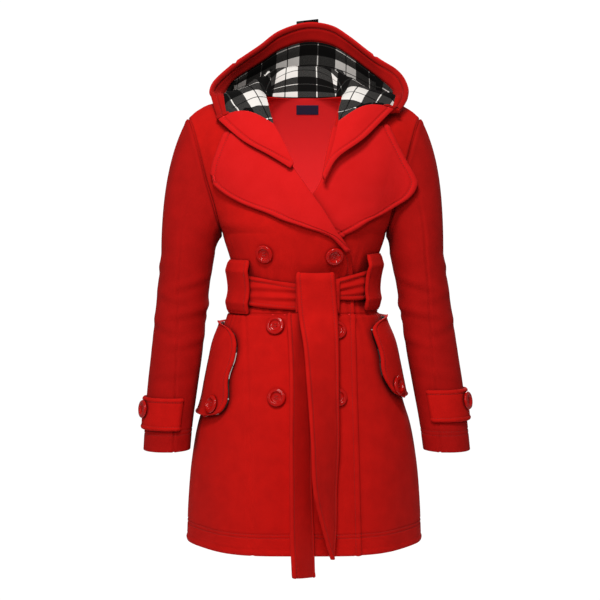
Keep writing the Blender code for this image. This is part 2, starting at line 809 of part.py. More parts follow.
# Pocket flaps ------------------------------------------------------------------------------
FLAP_EDGES = {
    # degrees forward of the side seam, height: the scalloped front edge, top to bottom
    "left": (
        (6, -370),
        (29, -376),
        (40, -385),
        (45.5, -398),
        (47, -412),
        (46.5, -430),
        (44.5, -447),
        (44, -463),
        (45.5, -480),
        (45.5, -498),
        (41, -515),
        (28, -523),
    ),
    "right": (
        (6, -360),
        (29, -366),
        (38.5, -373),
        (42, -382),
        (42, -396),
        (41, -411),
        (40.5, -425),
        (41.5, -438),
        (41, -452),
        (38, -467),
        (32, -483),
        (21, -492),
    ),
}
FLAP_BACK = -24.0  # degrees behind the side seam, where the flap is sewn on
FLAP_LIFT = 5.0


def flap_grid(side, height, grow=0.0):
    edge = FLAP_EDGES[side]
    rows, columns = len(edge), 9
    grid = np.empty((rows, columns, 3))
    top, bottom = edge[0][1], edge[-1][1]
    for row, (forward, z) in enumerate(edge):
        back_z = top + (bottom - top) * row / (rows - 1)
        upright = 1.0 if 2 <= row < rows - 2 else 0.0
        for column, share in enumerate(np.linspace(0, 1, columns)):
            angle = FLAP_BACK + (forward - FLAP_BACK) * share
            if column == columns - 1:
                angle += grow * upright
            lift = height + FLAP_LIFT * share**2
            grid[row, column] = on_torso(180.0 - angle if side == "left" else angle, back_z + (z - back_z) * share, lift)
    return grid


FLAP_REST = 2 * LAY
FLAP_OUT = FLAP_REST + LINING + LAY + DOUBLE
for side in FLAP_EDGES:
    inside, outside = (flap_grid(side, FLAP_REST + depth, 0.8) for depth in (0, LINING))
    layer(f"flap_lining_{side}", outside, inside, check_flannel)
    inside, outside = (flap_grid(side, height) for height in (FLAP_OUT - DOUBLE, FLAP_OUT))
    layer(f"pocket_flap_{side}", outside, inside, red_fleece)


# Cuff tabs ---------------------------------------------------------------------------------
TAB_HEIGHTS = {"left": (-495, -545), "right": (-481, -530)}
TAB_TURN = (-14.0, 122.0)  # from past the outer side round to the front seam


def on_sleeve(left, z, turn, height=0.0):
    """A point of the lower sleeve: the turn runs from its outer side to the front."""
    point, ahead = (sleeve_ring(left, z, [math.radians(t)])[0] for t in (turn, turn + 1))
    below = sleeve_ring(left, z - 2, [math.radians(turn)])[0]
    normal = np.cross(ahead - point, below - point)
    normal /= np.linalg.norm(normal)
    centre = sleeve_ring(left, z, [0.0, math.pi]).mean(axis=0)
    if normal @ (point - centre) < 0:
        normal = -normal
    return point + height * normal, normal


def cuff_tab(name, left, top, bottom):
    grid = np.empty((4, 11, 3))
    for row, z in enumerate(np.linspace(top, bottom, 4)):
        for column, turn in enumerate(np.linspace(*TAB_TURN, 11)):
            grid[row, column] = on_sleeve(left, z, turn, 1.2 * LAY + DOUBLE)[0]
    centre = (grid[:, :, 0].mean() + (40 if left else -40), -10.0, top)
    return wall(name, grid, DOUBLE, red_fleece, flip=facing_out(grid, centre))


for side, is_left in (("left", True), ("right", False)):
    cuff_tab(f"cuff_tab_{side}", is_left, *TAB_HEIGHTS[side])


# Buttons -----------------------------------------------------------------------------------
BUTTON_PROFILE = (
    # radius, height: from the middle of the dish over the rim to the flat back
    (0, 2.6),
    (7.5, 2.7),
    (10.5, 3.9),
    (12.8, 5.2),
    (14.4, 4.9),
    (15.2, 3.4),
    (14.2, 1.2),
    (11.0, 0.0),
    (0, 0.0),
)
BUTTON_SIDES = 14
BUTTON_REST = 0.7  # its flat back over the middle of the cloth under it


def button(name, place, normal, size=1.0):
    """A turned button lying on the cloth at the place, facing along the normal."""
    rings = []
    axis = normal / np.linalg.norm(normal)
    across = np.cross(axis, (0.0, 0.0, 1.0))
    across /= np.linalg.norm(across)
    up = np.cross(across, axis)
    points = [place + axis * BUTTON_PROFILE[0][1] * size]
    for radius, height in BUTTON_PROFILE[1:-1]:
        ring = []
        for turn in np.linspace(0, 2 * math.pi, BUTTON_SIDES, endpoint=False):
            ring.append(len(points))
            points.append(place + size * (axis * height + radius * (across * math.cos(turn) + up * math.sin(turn))))
        rings.append(ring)
    points.append(place + axis * BUTTON_PROFILE[-1][1] * size)
    faces = []
    for k in range(BUTTON_SIDES):
        after = (k + 1) % BUTTON_SIDES
        faces.append([0, rings[0][after], rings[0][k]])
        for inside, outside in zip(rings, rings[1:]):
            faces.append([inside[k], inside[after], outside[after], outside[k]])
        faces.append([rings[-1][k], rings[-1][after], len(points) - 1])
    return solid(name, points, faces, red_button)


FRONT_BUTTONS = {
    "button_chest_left": (-63.5, -248),
    "button_chest_right": (46.5, -249.5),
    "button_waist_left": (-46.5, -368.5),
    "button_waist_right": (53, -376),
    "button_hip_left": (-44.5, -484),
    "button_hip_right": (54, -484),
}
for name, (x, z) in FRONT_BUTTONS.items():
    below, above = (on_front(x, z + dz, over_height(x, z + dz)) for dz in (-10, 10))
    before, beyond = (on_front(x + dx, z, over_height(x + dx, z)) for dx in (-10, 10))
    normal = np.cross(beyond - before, above - below)
    normal /= np.linalg.norm(normal)
    button(name, (below + above + before + beyond) / 4 + BUTTON_REST * normal, normal)
for side, forward, z in (("left", 34.0, -502), ("right", 29.0, -472)):
    angle = 180.0 - forward if side == "left" else forward
    edge = np.interp(-z, [-row[1] for row in FLAP_EDGES[side]], [row[0] for row in FLAP_EDGES[side]])
    share = (forward - FLAP_BACK) / (edge - FLAP_BACK)
    height = FLAP_OUT + BUTTON_REST + FLAP_LIFT * share**2
    button(f"button_pocket_{side}", on_torso(angle, z, height), torso_normal(angle, z))
for name, is_left, z in (("button_cuff_left", True, -513), ("button_cuff_right", False, -499)):
    place, normal = on_sleeve(is_left, z, 28.0, 1.2 * LAY + DOUBLE + BUTTON_REST)
    button(name, place, normal)


# Label and hanger --------------------------------------------------------------------------
LABEL = {"middle": 6.0, "width": 38.0, "top": 5.0, "bottom": -10.0, "thickness": 0.7}


def neck_label():
    grid = np.empty((3, 6, 3))
    for row, z in enumerate(np.linspace(LABEL["top"], LABEL["bottom"], 3)):
        for column, share in enumerate(np.linspace(-0.5, 0.5, 6)):
            x = LABEL["middle"] + share * LABEL["width"]
            angle = 360.0 - angle_at_back(x, z)
            grid[row, column] = on_torso(angle, z, -CLOTH - LAY)
    return wall("neck_label", grid, LABEL["thickness"], navy_tape, flip=not facing_out(grid, (0, -200, 0)))


def angle_at_back(x, z):
    side_x, _ = side_of(z, False)
    start = math.cos(math.radians(start_angle(z)))
    share = min(abs(x) / side_x, 1.0) ** (SECTION_POWER / 2.0) * start
    return math.degrees(math.acos(math.copysign(share, x)))


def hood_tab():
    """The short doubled tape that sticks up from the middle of the hood's rim."""
    row = SIDE + 2 * len(HOOD_SECTIONS)
    rim = HOOD["outside"][row - 1 : row + 2, END]
    out = HOOD["outside"][row, END] - HOOD["face"][row, END]
    out /= np.linalg.norm(out)
    along = rim[2] - rim[0]
    along /= np.linalg.norm(along)
    lean = HOOD["face"][row, END] - HOOD["face"][row, END - 1]
    lean /= np.linalg.norm(lean)
    grid = np.empty((3, 3, 3))
    for i, rise in enumerate((-9.0, -1.0, 6.0)):
        for k, share in enumerate((-1, 0, 1)):
            grid[i, k] = rim[1] + out * (LAY + 1.6 + max(rise, 0) * 0.1) + along * 19.0 * share + lean * rise
    return wall("hood_tab", grid, 1.6, check_flannel, flip=facing_out(grid, HOOD["face"][row, END - 2]))


neck_label()
hood_tab()
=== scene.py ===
# %% [markdown]
# # A red hooded coat, filled out
# A women's short coat in brushed fleece: double-breasted, belted, with a hood that is lined in a
# black and white check. It is shown as a shop shows it, filled out with nobody in it. This lesson
# dresses the coat's solids: every cloth is a thin shell that follows the form of its solid, worked
# out from the same tables of sizes, and finer than the solid. Sizes in the tables are millimetres.

# %% Load the frame
import math

import bmesh
import bpy
import numpy as np
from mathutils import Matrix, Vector


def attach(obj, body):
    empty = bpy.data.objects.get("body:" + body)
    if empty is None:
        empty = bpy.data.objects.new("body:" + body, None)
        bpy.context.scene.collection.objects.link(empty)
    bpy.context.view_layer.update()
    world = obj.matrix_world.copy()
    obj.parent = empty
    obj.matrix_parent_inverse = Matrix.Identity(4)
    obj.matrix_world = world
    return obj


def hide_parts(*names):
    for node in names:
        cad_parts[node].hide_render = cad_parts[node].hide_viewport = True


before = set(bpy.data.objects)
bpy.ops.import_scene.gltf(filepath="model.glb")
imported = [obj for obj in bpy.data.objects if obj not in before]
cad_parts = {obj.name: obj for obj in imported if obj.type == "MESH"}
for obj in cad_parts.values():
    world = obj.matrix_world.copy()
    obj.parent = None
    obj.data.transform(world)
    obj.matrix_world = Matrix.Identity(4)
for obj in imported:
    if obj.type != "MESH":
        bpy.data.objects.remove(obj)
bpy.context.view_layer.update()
MM = 0.001


# %% [markdown]
# ## Camera, floor and light
# The outline and the curve of the hem tell where the lens was: level with the chest, 2.5 m away,
# looking down by 2.6 degrees. A studio would hang the coat in front of white paper, light the paper
# until it is pure white, and light the coat apart from it. Here the world plays the paper: what the
# lens sees of it is white, and what it sheds on the coat is a faint fill. A small disc of paper is
# the floor.

# %% Colours and shader nodes
def linear(code):
    """An sRGB hex colour as the linear numbers that a shader works in."""
    values = [int(code[i : i + 2], 16) / 255 for i in (1, 3, 5)]
    return (*(v / 12.92 if v <= 0.04045 else ((v + 0.055) / 1.055) ** 2.4 for v in values), 1.0)


def add_node(tree, kind, settings=(), links=()):
    """Adds a shader node. Settings fill fields or inputs; a link is a socket, or a node's first one."""
    made = tree.nodes.new("ShaderNode" + kind)
    for name, value in dict(settings).items():
        if isinstance(name, str) and hasattr(made, name):
            setattr(made, name, value)
        else:
            made.inputs[name].default_value = value
    for name, source in dict(links).items():
        tree.links.new(source.outputs[0] if hasattr(source, "outputs") else source, made.inputs[name])
    return made


def new_material(name, code, roughness, ior=1.5, **finish):
    """A material with one Principled shader. The finish names more of its inputs, with _ for a space."""
    made = bpy.data.materials.new(name)
    made.use_nodes = True
    made.diffuse_color = linear(code)
    shader = made.node_tree.nodes["Principled BSDF"]
    values = {"Base_Color": linear(code), "Roughness": roughness, "IOR": ior, **finish}
    for socket, value in values.items():
        shader.inputs[socket.replace("_", " ")].default_value = value
    return made, made.node_tree, shader


def add_relief(tree, shader, strength, depth, height):
    """Lets a fine pattern raise the surface by this many metres at most."""
    bump = add_node(tree, "Bump", {"Strength": strength, "Distance": depth}, {"Height": height})
    tree.links.new(bump.outputs["Normal"], shader.inputs["Normal"])


print("Blender", bpy.app.version_string, "red", [round(v, 3) for v in linear("#C61009")[:3]])

# %% Floor and lights
FLOOR = {"radius": 0.88, "height": -1.1, "sides": 96}
AMBIENT, WHITE_PAPER = 0.24, 1.05


def place_object(name, data, collection=None):
    """A new object in a collection, or in the scene's own."""
    made = bpy.data.objects.new(name, data)
    (collection or bpy.context.scene.collection).objects.link(made)
    return made


def aim_at(made, place, target):
    """Puts a light or a camera at a place, looking at a target."""
    made.location = place
    made.rotation_euler = (Vector(target) - Vector(place)).to_track_quat("-Z", "Y").to_euler()


def soft_box(name, place, size, power, aim=(0.0, 0.0, -0.3)):
    """An area light: sizes and places in metres, power in watts."""
    lamp = bpy.data.lights.new(name, "AREA")
    lamp.shape = "RECTANGLE"
    lamp.size, lamp.size_y = size
    lamp.energy = power
    aim_at(place_object(name, lamp), place, aim)


turns = np.linspace(0, 2 * math.pi, FLOOR["sides"], endpoint=False)
floor_mesh = bpy.data.meshes.new("floor_paper")
ring = [(FLOOR["radius"] * math.cos(t), FLOOR["radius"] * math.sin(t), FLOOR["height"]) for t in turns]
floor_mesh.from_pydata(ring, [], [list(range(len(ring)))])
floor_mesh.materials.append(new_material("background paper, matt", "#F4F4F4", 0.9)[0])
place_object("floor_paper", floor_mesh)

soft_box("near top light", (-0.15, -1.3, 0.9), (0.4, 0.3), 20, (0.0, 0.0, -0.2))
soft_box("front light", (-0.2, -3.0, 0.9), (0.5, 0.5), 24)
soft_box("side light", (-1.5, -1.3, 0.1), (0.5, 0.8), 4)
soft_box("back light", (0.5, 2.6, 1.4), (1.6, 1.2), 60)

world = bpy.data.worlds.new("studio air")
world.use_nodes = True
air, paper_light = world.node_tree, world.node_tree.nodes["Background"]
paper_light.inputs["Color"].default_value = linear("#FFFFFF")
to_lens = add_node(air, "LightPath").outputs["Is Camera Ray"]
strength = add_node(air, "MapRange", {"To Min": AMBIENT, "To Max": WHITE_PAPER}, {"Value": to_lens})
air.links.new(strength.outputs[0], paper_light.inputs["Strength"])
bpy.context.scene.world = world
bpy.context.scene.view_settings.view_transform = "Standard"

# %% Camera
TARGET, DISTANCE, DOWN = Vector((-0.007, 0.0, -0.330)), 2.5025, math.radians(2.57)
lens = bpy.data.cameras.new("studio camera")
lens.lens, lens.sensor_width = 87.3, 36.0
camera = place_object("studio_camera", lens)
aim_at(camera, TARGET + DISTANCE * Vector((0.0, -math.cos(DOWN), math.sin(DOWN))), TARGET)
bpy.context.scene.camera = camera
print("camera at", tuple(round(v, 3) for v in camera.location))

# %% [markdown]
# ## The brushed coating
# The coat is cut from a fleece coating: a knitted or woven polyester ground with a nap that is
# brushed up until the threads vanish. Real hair would give the same look at a great cost in
# triangles. Here the nap is what the eye gets from it: a soft sheen at grazing angles, colour that
# clouds a little where the pile lies the other way, and a fine bump of fibre tufts. A tuft is about
# 0.5 mm wide on the real cloth; it is drawn 1.1 mm wide, because 0.5 mm would not show.

# %% Fleece
# The last two entries are for painted shade: how far the occlusion reaches and the deep red that it paints in
# creases.
FLEECE = {"cloud": 42.0, "tuft": 900.0, "painted_shade_reach": 22.0, "painted_shade_red": "#7A0604"}


def fleece(name, code, shade, lit_inside):
    """The coating's face in two close reds, darkened by painted shade where cloths lie close together, and
    its inside faces in a red of their own that is painted light.
    """
    made, tree, shader = new_material(
        name, code, 0.92, 1.46, Sheen_Weight=0.03, Sheen_Roughness=0.45, Sheen_Tint=linear("#FF6A58"),
        Specular_IOR_Level=0.15)
    place = {"Vector": add_node(tree, "TexCoord").outputs["Object"]}
    cloud = add_node(tree, "TexNoise", {"Scale": FLEECE["cloud"], "Detail": 4.0}, place)
    tuft = add_node(tree, "TexNoise", {"Scale": FLEECE["tuft"], "Detail": 3.0}, place)
    mixed = add_node(tree, "Math", {"operation": "MULTIPLY_ADD", 1: 0.55}, {0: tuft, 2: cloud})
    share = add_node(tree, "MapRange", {"From Min": 0.45, "From Max": 1.1}, {"Value": mixed})
    reds = {"data_type": "RGBA", 6: linear(shade), 7: linear(code)}
    colour = add_node(tree, "Mix", reds, {0: share})
    # Painted shade: ambient occlusion darkens the red towards a deep red where cloths lie close, in seams,
    # creases and under the belt and lapels.
    occlusion = add_node(tree, "AmbientOcclusion", {"samples": 8, "Distance": FLEECE["painted_shade_reach"] * MM})
    free = add_node(tree, "MapRange", {"From Min": 0.25, "From Max": 0.85}, {"Value": occlusion.outputs["AO"]})
    painted_shade = {"data_type": "RGBA", 6: linear(FLEECE["painted_shade_red"])}
    painted_shade = add_node(tree, "Mix", painted_shade, {0: free, 7: colour.outputs[2]})
    # Painted light: the inside faces take a red of their own, lighter than the face, as if more light reached
    # the inside of the coat.
    side = add_node(tree, "Attribute", {"attribute_name": "lit_inside"}).outputs["Fac"]
    faced = add_node(tree, "Mix", {"data_type": "RGBA", 7: linear(lit_inside)}, {0: side, 6: painted_shade.outputs[2]})
    tree.links.new(faced.outputs[2], shader.inputs["Base Color"])
    add_relief(tree, shader, 0.45, 0.0007, tuft)
    return made


# Three copies of one coating: the base red, a lighter copy that is painted light for the lapels and the
# hood's flaps, and a darker copy that is painted shade for the sleeves and the hood's rim. The last colour of
# each is for the inside faces; the lighter red there is painted light.
red_fleece = fleece("polyester fleece, brushed", "#C61009", "#B20B06", "#F02A2C")
lit_fleece = fleece("polyester fleece, painted light", "#CB1616", "#C41110", "#F02A2C")
shaded_fleece = fleece("polyester fleece, painted shade", "#AC0C08", "#9A0805", "#AC0C08")
print("materials", red_fleece.name, lit_fleece.name, shaded_fleece.name)

# %% [markdown]
# ## The check lining
# The hood is lined in a brushed cotton flannel with an ordinary black and white check. It is woven,
# not printed: white and black bands of warp cross the same bands of weft. Where both are white the
# cloth is white, where both are black it is black, and where they differ the twill shows both as a
# grey heather. So the material holds two band patterns, one for each thread direction, and a twill
# of fine slanting lines picks which of the two is on top. The cloth's own UV map is in metres, so
# each band has its real width.

# %% Flannel
CHECK = {"warp": (112.0, 45.0), "weft": (84.0, 40.0), "line": 2.0, "twill": 1.6}


def bands(tree, along, repeat, white):
    """1 where the thread is white: a white band with a thin black line, then the reverse."""
    turned = add_node(tree, "Math", {"operation": "WRAP", 1: repeat * MM, 2: 0.0}, {0: along})
    result = add_node(tree, "Math", {"operation": "LESS_THAN", 1: white * MM}, {0: turned})
    for middle, value in ((white / 2, 0.0), ((white + repeat) / 2, 1.0)):
        line = {"operation": "COMPARE", 1: middle * MM, 2: CHECK["line"] / 2 * MM}
        near = add_node(tree, "Math", line, {0: turned})
        result = add_node(tree, "Mix", {"data_type": "FLOAT", 3: value}, {0: near, 2: result})
    return result


def flannel():
    """Woven check: bands of warp and weft, a twill where they differ, and a short nap."""
    made, tree, shader = new_material(
        "cotton flannel, woven check", "#3A3634", 0.95, 1.46, Sheen_Weight=0.01, Specular_IOR_Level=0.02)
    cloth_map = add_node(tree, "UVMap", {"uv_map": "cut"})
    split = add_node(tree, "SeparateXYZ", (), {0: cloth_map})
    across, along = split.outputs[0], split.outputs[1]
    threads = {0: bands(tree, across, *CHECK["weft"]), 1: bands(tree, along, *CHECK["warp"])}
    slant = add_node(tree, "Math", {"operation": "ADD"}, {0: across, 1: along})
    pace = 2 * math.pi / (CHECK["twill"] * MM)
    wave = add_node(tree, "Math", {"operation": "MULTIPLY", 1: pace}, {0: slant})
    wave = add_node(tree, "Math", {"operation": "SINE"}, {0: wave})
    levels = {"From Min": -0.6, "From Max": 0.9, "To Min": 0.01, "To Max": 0.08}
    nap_share = add_node(tree, "MapRange", levels, {"Value": wave})
    both = add_node(tree, "Math", {"operation": "MULTIPLY"}, threads)
    either = add_node(tree, "Math", {"operation": "MAXIMUM"}, threads)
    heather = add_node(tree, "Math", {"operation": "MULTIPLY"}, {0: either, 1: nap_share})
    woven = add_node(tree, "Math", {"operation": "MAXIMUM"}, {0: both, 1: heather})
    nap = add_node(tree, "TexNoise", {"Scale": 1400.0, "Detail": 2.0}, {"Vector": cloth_map})
    soft = add_node(tree, "Math", {"operation": "MULTIPLY_ADD", 1: 0.008}, {0: nap, 2: woven})
    yarns = {"data_type": "RGBA", 6: linear("#080707"), 7: linear("#DDD8D2")}
    colour = add_node(tree, "Mix", yarns, {0: soft})
    tree.links.new(colour.outputs[2], shader.inputs["Base Color"])
    add_relief(tree, shader, 0.3, 0.0004, nap)
    return made


check_flannel = flannel()
print("material", check_flannel.name, CHECK)

# %% [markdown]
# ## Buttons, tape and thread
# The buttons are cast polyester, turned on a lathe and tumbled to a high gloss: a hard, smooth red
# with a sharp highlight. The neck label is a woven navy polyester tape, and the sewing thread is
# spun polyester in the cloth's own red.

# %% Button, tape and thread materials
button_gloss = new_material("polyester resin, turned and polished", "#B00D09", 0.16, 1.55,
                            Specular_IOR_Level=0.2)[0]
thread_red = new_material("spun polyester thread", "#9E130C", 0.7)[0]
navy_tape, tree, shader = new_material("polyester tape, woven navy", "#1D1B3C", 0.75)
place = add_node(tree, "TexCoord").outputs["Object"]
weave = add_node(tree, "TexNoise", {"Scale": 1600.0, "Detail": 1.0}, {"Vector": place})
add_relief(tree, shader, 0.4, 0.0002, weave)
print("materials", len(bpy.data.materials))

# %% [markdown]
# ## From a pattern to a shell of cloth
# A tailor cuts a flat piece, and the piece takes its form when it is sewn and worn. In Blender a
# flat piece could be draped by a simulation, but then nothing guarantees that it lies where the
# solids lie. So each piece here is a grid of points on the worn form: rows one way, columns the
# other, closer together near an edge, where a turned edge bulges and a row of stitching pulls the
# cloth in. The grid is moved in by the cloth's thickness for the inside, and a rounded rim joins
# the two, so every cloth is a closed shell with real edges.

# %% Tables and spacing
CLOTH, DOUBLE, LINING = 2.6, 4.6, 1.2  # thicknesses of one coating, of two and of the lining
LAY = 0.9  # the air between two cloths that lie on each other
PIPED = {"lip": 1.5, "groove": 1.7, "stitch": 9.5}
STRAP_EDGE = (0.0, 1.2, 2.4, 3.8, 5.2, 6.6)  # how far inside a strap's edge the grid's lines run
PANEL_EDGE = (0.0, 1.5, 3.0, 5.0, 7.0, 8.5, 10.0, 13.0)


class Table:
    """Rows of named columns, read smoothly at any value of the first column."""

    def __init__(self, columns, rows):
        values = np.array(sorted(rows), float)
        self.key = values[:, 0]
        self.columns = {name: values[:, i] for i, name in enumerate(columns)}

    def at(self, column, key):
        """A column's value by a cubic curve through its rows."""
        xs, ys = self.key, self.columns[column]
        slopes = np.gradient(ys, xs)
        key = np.clip(np.asarray(key, float), xs[0], xs[-1])
        i = np.clip(np.searchsorted(xs, key) - 1, 0, len(xs) - 2)
        step = xs[i + 1] - xs[i]
        t = (key - xs[i]) / step
        start = (2 * t**3 - 3 * t**2 + 1) * ys[i] + (t**3 - 2 * t**2 + t) * step * slopes[i]
        return start + (3 * t**2 - 2 * t**3) * ys[i + 1] + (t**3 - t**2) * step * slopes[i + 1]


def smooth_step(value, low, high):
    """0 below the low value, 1 above the high one, and a soft ramp between."""
    t = np.clip((value - low) / (high - low), 0.0, 1.0)
    return t * t * (3 - 2 * t)


def spread(count, length, close=PANEL_EDGE):
    """Shares from 0 to 1, with points this many millimetres from each end and even ones between."""
    near = np.array([step for step in close if step < 0.4 * length]) / length
    even = np.linspace(near[-1], 1 - near[-1], count)
    return np.concatenate([near[:-1], even, 1 - near[-2::-1]])


def ripple(distance, width):
    """A smooth bump of this half width round distance 0."""
    return np.exp(-((distance / width) ** 2))


def unit(vectors, least=0.0):
    """The same directions, one long."""
    return vectors / np.maximum(np.linalg.norm(vectors, axis=-1, keepdims=True), least)


print("points across a panel", len(spread(76, 230.0)), "across a strap", len(spread(20, 58.0, STRAP_EDGE)))

# %% Normals, lengths and edges of a grid
def grid_normals(grid, closed=False):
    """The direction out of the grid at each point, by the two directions that its lines run in."""
    if closed:
        around = np.roll(grid, -1, axis=1) - np.roll(grid, 1, axis=1)
    else:
        around = np.gradient(grid, axis=1)
    return unit(np.cross(np.gradient(grid, axis=0), around), 1e-9)


def facing(grid, away_from, closed=False):
    """The grid's normals, turned so that they point away from a place."""
    normals = grid_normals(grid, closed)
    return normals if ((grid - np.array(away_from, float)) * normals).sum() > 0 else -normals


def lengths(grid, axis):
    """The distance along each grid line from its start."""
    steps = np.linalg.norm(np.diff(grid, axis=axis), axis=2)
    zero = np.zeros_like(np.take(steps, [0], axis=axis))
    return np.concatenate([zero, np.cumsum(steps, axis=axis)], axis=axis)


def to_edge(grid, side):
    """The distance of each point from one side: first or last row, left or right column."""
    run = lengths(grid, 0 if side in ("first", "last") else 1)
    if side == "last":
        return run[-1:] - run
    return run[:, -1:] - run if side == "right" else run


def to_edges(grid, *sides):
    """The distance of each point from the nearest of some sides."""
    return np.min([to_edge(grid, side) for side in sides], axis=0)


def turned_edge(distance, stitch):
    """Relief of an edge turned over a seam: a puffed lip, then the dent of its row of stitches."""
    lip = 1.3 * np.sqrt(ripple(distance - 0.45 * stitch, 0.5 * stitch))
    return lip - 1.2 * ripple(distance - stitch, 1.5)


def piped_edge(distance):
    """Relief of a thick turned edge: a round lip 8 mm wide, a groove of stitches, and a puff behind."""
    lip = PIPED["lip"] * np.sqrt(ripple(distance - 4.2, 4.4))
    groove = PIPED["groove"] * ripple(distance - PIPED["stitch"], 2.0)
    return lip - groove + 0.5 * ripple(distance - 34.0, 18.0)


def sewn_edge(distance):
    """Relief of a seam: both cloths dip into it."""
    return 0.6 * ripple(distance - 7.0, 5.0) - 2.0 * ripple(distance, 2.8)


print("a seam dips", -round(float(sewn_edge(0.0)), 2), "mm, a piped groove", PIPED["groove"], "mm")

# %% Grids to meshes
def make_mesh(name, points, faces, skin):
    """A smooth mesh from points in millimetres, with every face turned outward."""
    mesh = bpy.data.meshes.new(name)
    mesh.from_pydata((np.asarray(points) * MM).tolist(), [], faces)
    tidy = bmesh.new()
    tidy.from_mesh(mesh)
    bmesh.ops.recalc_face_normals(tidy, faces=tidy.faces)
    tidy.to_mesh(mesh)
    tidy.free()
    mesh.shade_smooth()
    mesh.materials.append(skin)
    return mesh


def rim_loops(rows, columns, closed):
    """Loops of grid places round a grid's edge."""
    if closed:
        return [[(r, c) for c in range(columns)] for r in (0, rows - 1)]
    loop = [(0, c) for c in range(1, columns - 1)] + [(r, columns - 1) for r in range(rows)]
    loop += [(rows - 1, c) for c in range(columns - 2, 0, -1)]
    return [loop + [(r, 0) for r in range(rows - 1, -1, -1)]]


def shell_mesh(name, outer, inner, marks, closed, round_sides, skin):
    """A closed shell between two grids, with a rounded rim on the sides that are turned edges."""
    rows, columns = outer.shape[:2]
    count = total = rows * columns
    index = np.arange(count).reshape(rows, columns)
    right = np.roll(index, -1, axis=1) if closed else index[:, 1:]
    left = index if closed else index[:, :-1]
    quads = np.stack([left[:-1], right[:-1], right[1:], left[1:]], axis=-1).reshape(-1, 4)
    faces = quads.tolist() + (quads[:, ::-1] + count).tolist()
    points, sources = [outer.reshape(-1, 3), inner.reshape(-1, 3)], [index.ravel(), index.ravel()]
    total = 2 * count
    for loop in rim_loops(rows, columns, closed):
        r, c = np.array(loop).T
        away = np.zeros((len(loop), 3))
        neighbours = ((r == 0, 1, 0), (r == rows - 1, -1, 0), (c == 0, 0, 1), (c == columns - 1, 0, -1))
        for at_edge, down, across in neighbours:
            if not (closed and across):
                inward = outer[(r + down) % rows, (c + across) % columns]
                away += at_edge[:, None] * unit(outer[r, c] - inward, 1e-6)
        rounded = [side in round_sides for side in ("first", "last", "left", "right")]
        bulge = np.select([r == 0, r == rows - 1, c == 0], rounded[:3], rounded[3])[:, None]
        middle, half = (outer[r, c] + inner[r, c]) / 2, (outer[r, c] - inner[r, c]) / 2
        swell = bulge * np.linalg.norm(half, axis=1, keepdims=True) * unit(away, 1e-6)
        rings = [index[r, c]]
        for turn in (0.25 * math.pi, 0.5 * math.pi, 0.75 * math.pi):
            points.append(middle + half * math.cos(turn) + swell * math.sin(turn))
            sources.append(index[r, c])
            rings.append(total + np.arange(len(loop)))
            total += len(loop)
        rings.append(count + index[r, c])
        for near, far in zip(rings, rings[1:]):
            faces += np.stack([near, np.roll(near, -1), np.roll(far, -1), far], axis=1).tolist()
    mesh = make_mesh(name, np.concatenate(points), faces, skin)
    # Marks the inside faces, which the coating paints in its inside red: painted light where that is lighter.
    lit_inside = np.zeros(total)
    lit_inside[count : 2 * count] = 1.0
    mesh.attributes.new("lit_inside", "FLOAT", "POINT").data.foreach_set("value", lit_inside)
    corner = np.empty(len(mesh.loops), int)
    mesh.loops.foreach_get("vertex_index", corner)
    flat = marks.reshape(-1, 2)[np.concatenate(sources)[corner]] * MM
    mesh.uv_layers.new(name="cut").data.foreach_set("uv", flat.reshape(-1))
    return mesh


print("rim of a 3 by 4 grid", len(rim_loops(3, 4, False)[0]), "points")

# %% Pieces of the coat
LEAST_SHARE = 0.305  # of its rectangle: a slimmer crescent of cloth has its area raised to this
coat = bpy.data.collections.new("dressed_coat")
bpy.context.scene.collection.children.link(coat)


def wear(name, mesh, slot, *nodes):
    """Puts a finished mesh on the coat: it rides on the body and stands for its solids."""
    made = place_object(name, mesh, coat)
    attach(made, "root")
    if nodes:
        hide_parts(*nodes)
    return made


def declare(made, grid, closed):
    """Prints the size that the cloth was cut to: its widest row and its longest column. Its area is worked
    out but not shown.
    """
    ring = np.concatenate([grid, grid[:, :1]], axis=1) if closed else grid
    width, length = lengths(ring, 1)[:, -1].max() * MM, lengths(ring, 0)[-1].max() * MM
    triangles = (
        (ring[1:, :-1] - ring[:-1, :-1], ring[:-1, 1:] - ring[:-1, :-1]),
        (ring[:-1, 1:] - ring[1:, 1:], ring[1:, :-1] - ring[1:, 1:]),
    )
    area = sum(np.linalg.norm(np.cross(a, b), axis=2).sum() / 2 for a, b in triangles) * MM * MM
    area = min(max(area, LEAST_SHARE * width * length), width * length)
    width, length = round(width, 3), round(length, 3)
    area = min(round(area, 4), width * length)
    print(made.name, grid.shape[:2], "cut", (width, length), "m")


def cloth(name, grid, away_from, thickness=CLOTH, skin=None, slot="red_fleece", held="draped", rests_on=(),
          closed=False, turned=(), sewn=(), stitch=8.0, relief=0.0, guards=None, backing=None, marks=None,
          normals=None):
    """One cloth piece: relief at its edges, an inside, a rim, its map and its declared cut."""
    normals = facing(grid, away_from, closed) if normals is None else normals
    lift = np.zeros(grid.shape[:2]) + relief
    for side in turned:
        lift = lift + turned_edge(to_edge(grid, side), stitch)
    for side in sewn:
        lift = lift + sewn_edge(to_edge(grid, side))
    inward = -normals
    if guards is not None:
        inward = inward - np.maximum((inward * guards).sum(axis=2, keepdims=True), 0.0) * guards
    inner = grid + inward * thickness if backing is None else backing
    outer = grid + normals * lift[..., None]
    if marks is None:
        marks = np.stack([lengths(grid, 1), lengths(grid, 0)], axis=2)
    round_sides = {"first", "last", "left", "right"} - set(sewn)
    mesh = shell_mesh(name, outer, inner, marks, closed, round_sides, skin or red_fleece)
    declare(wear(name + "_cloth", mesh, slot, name), grid, closed)
    return outer, normals


print("collection", coat.name)

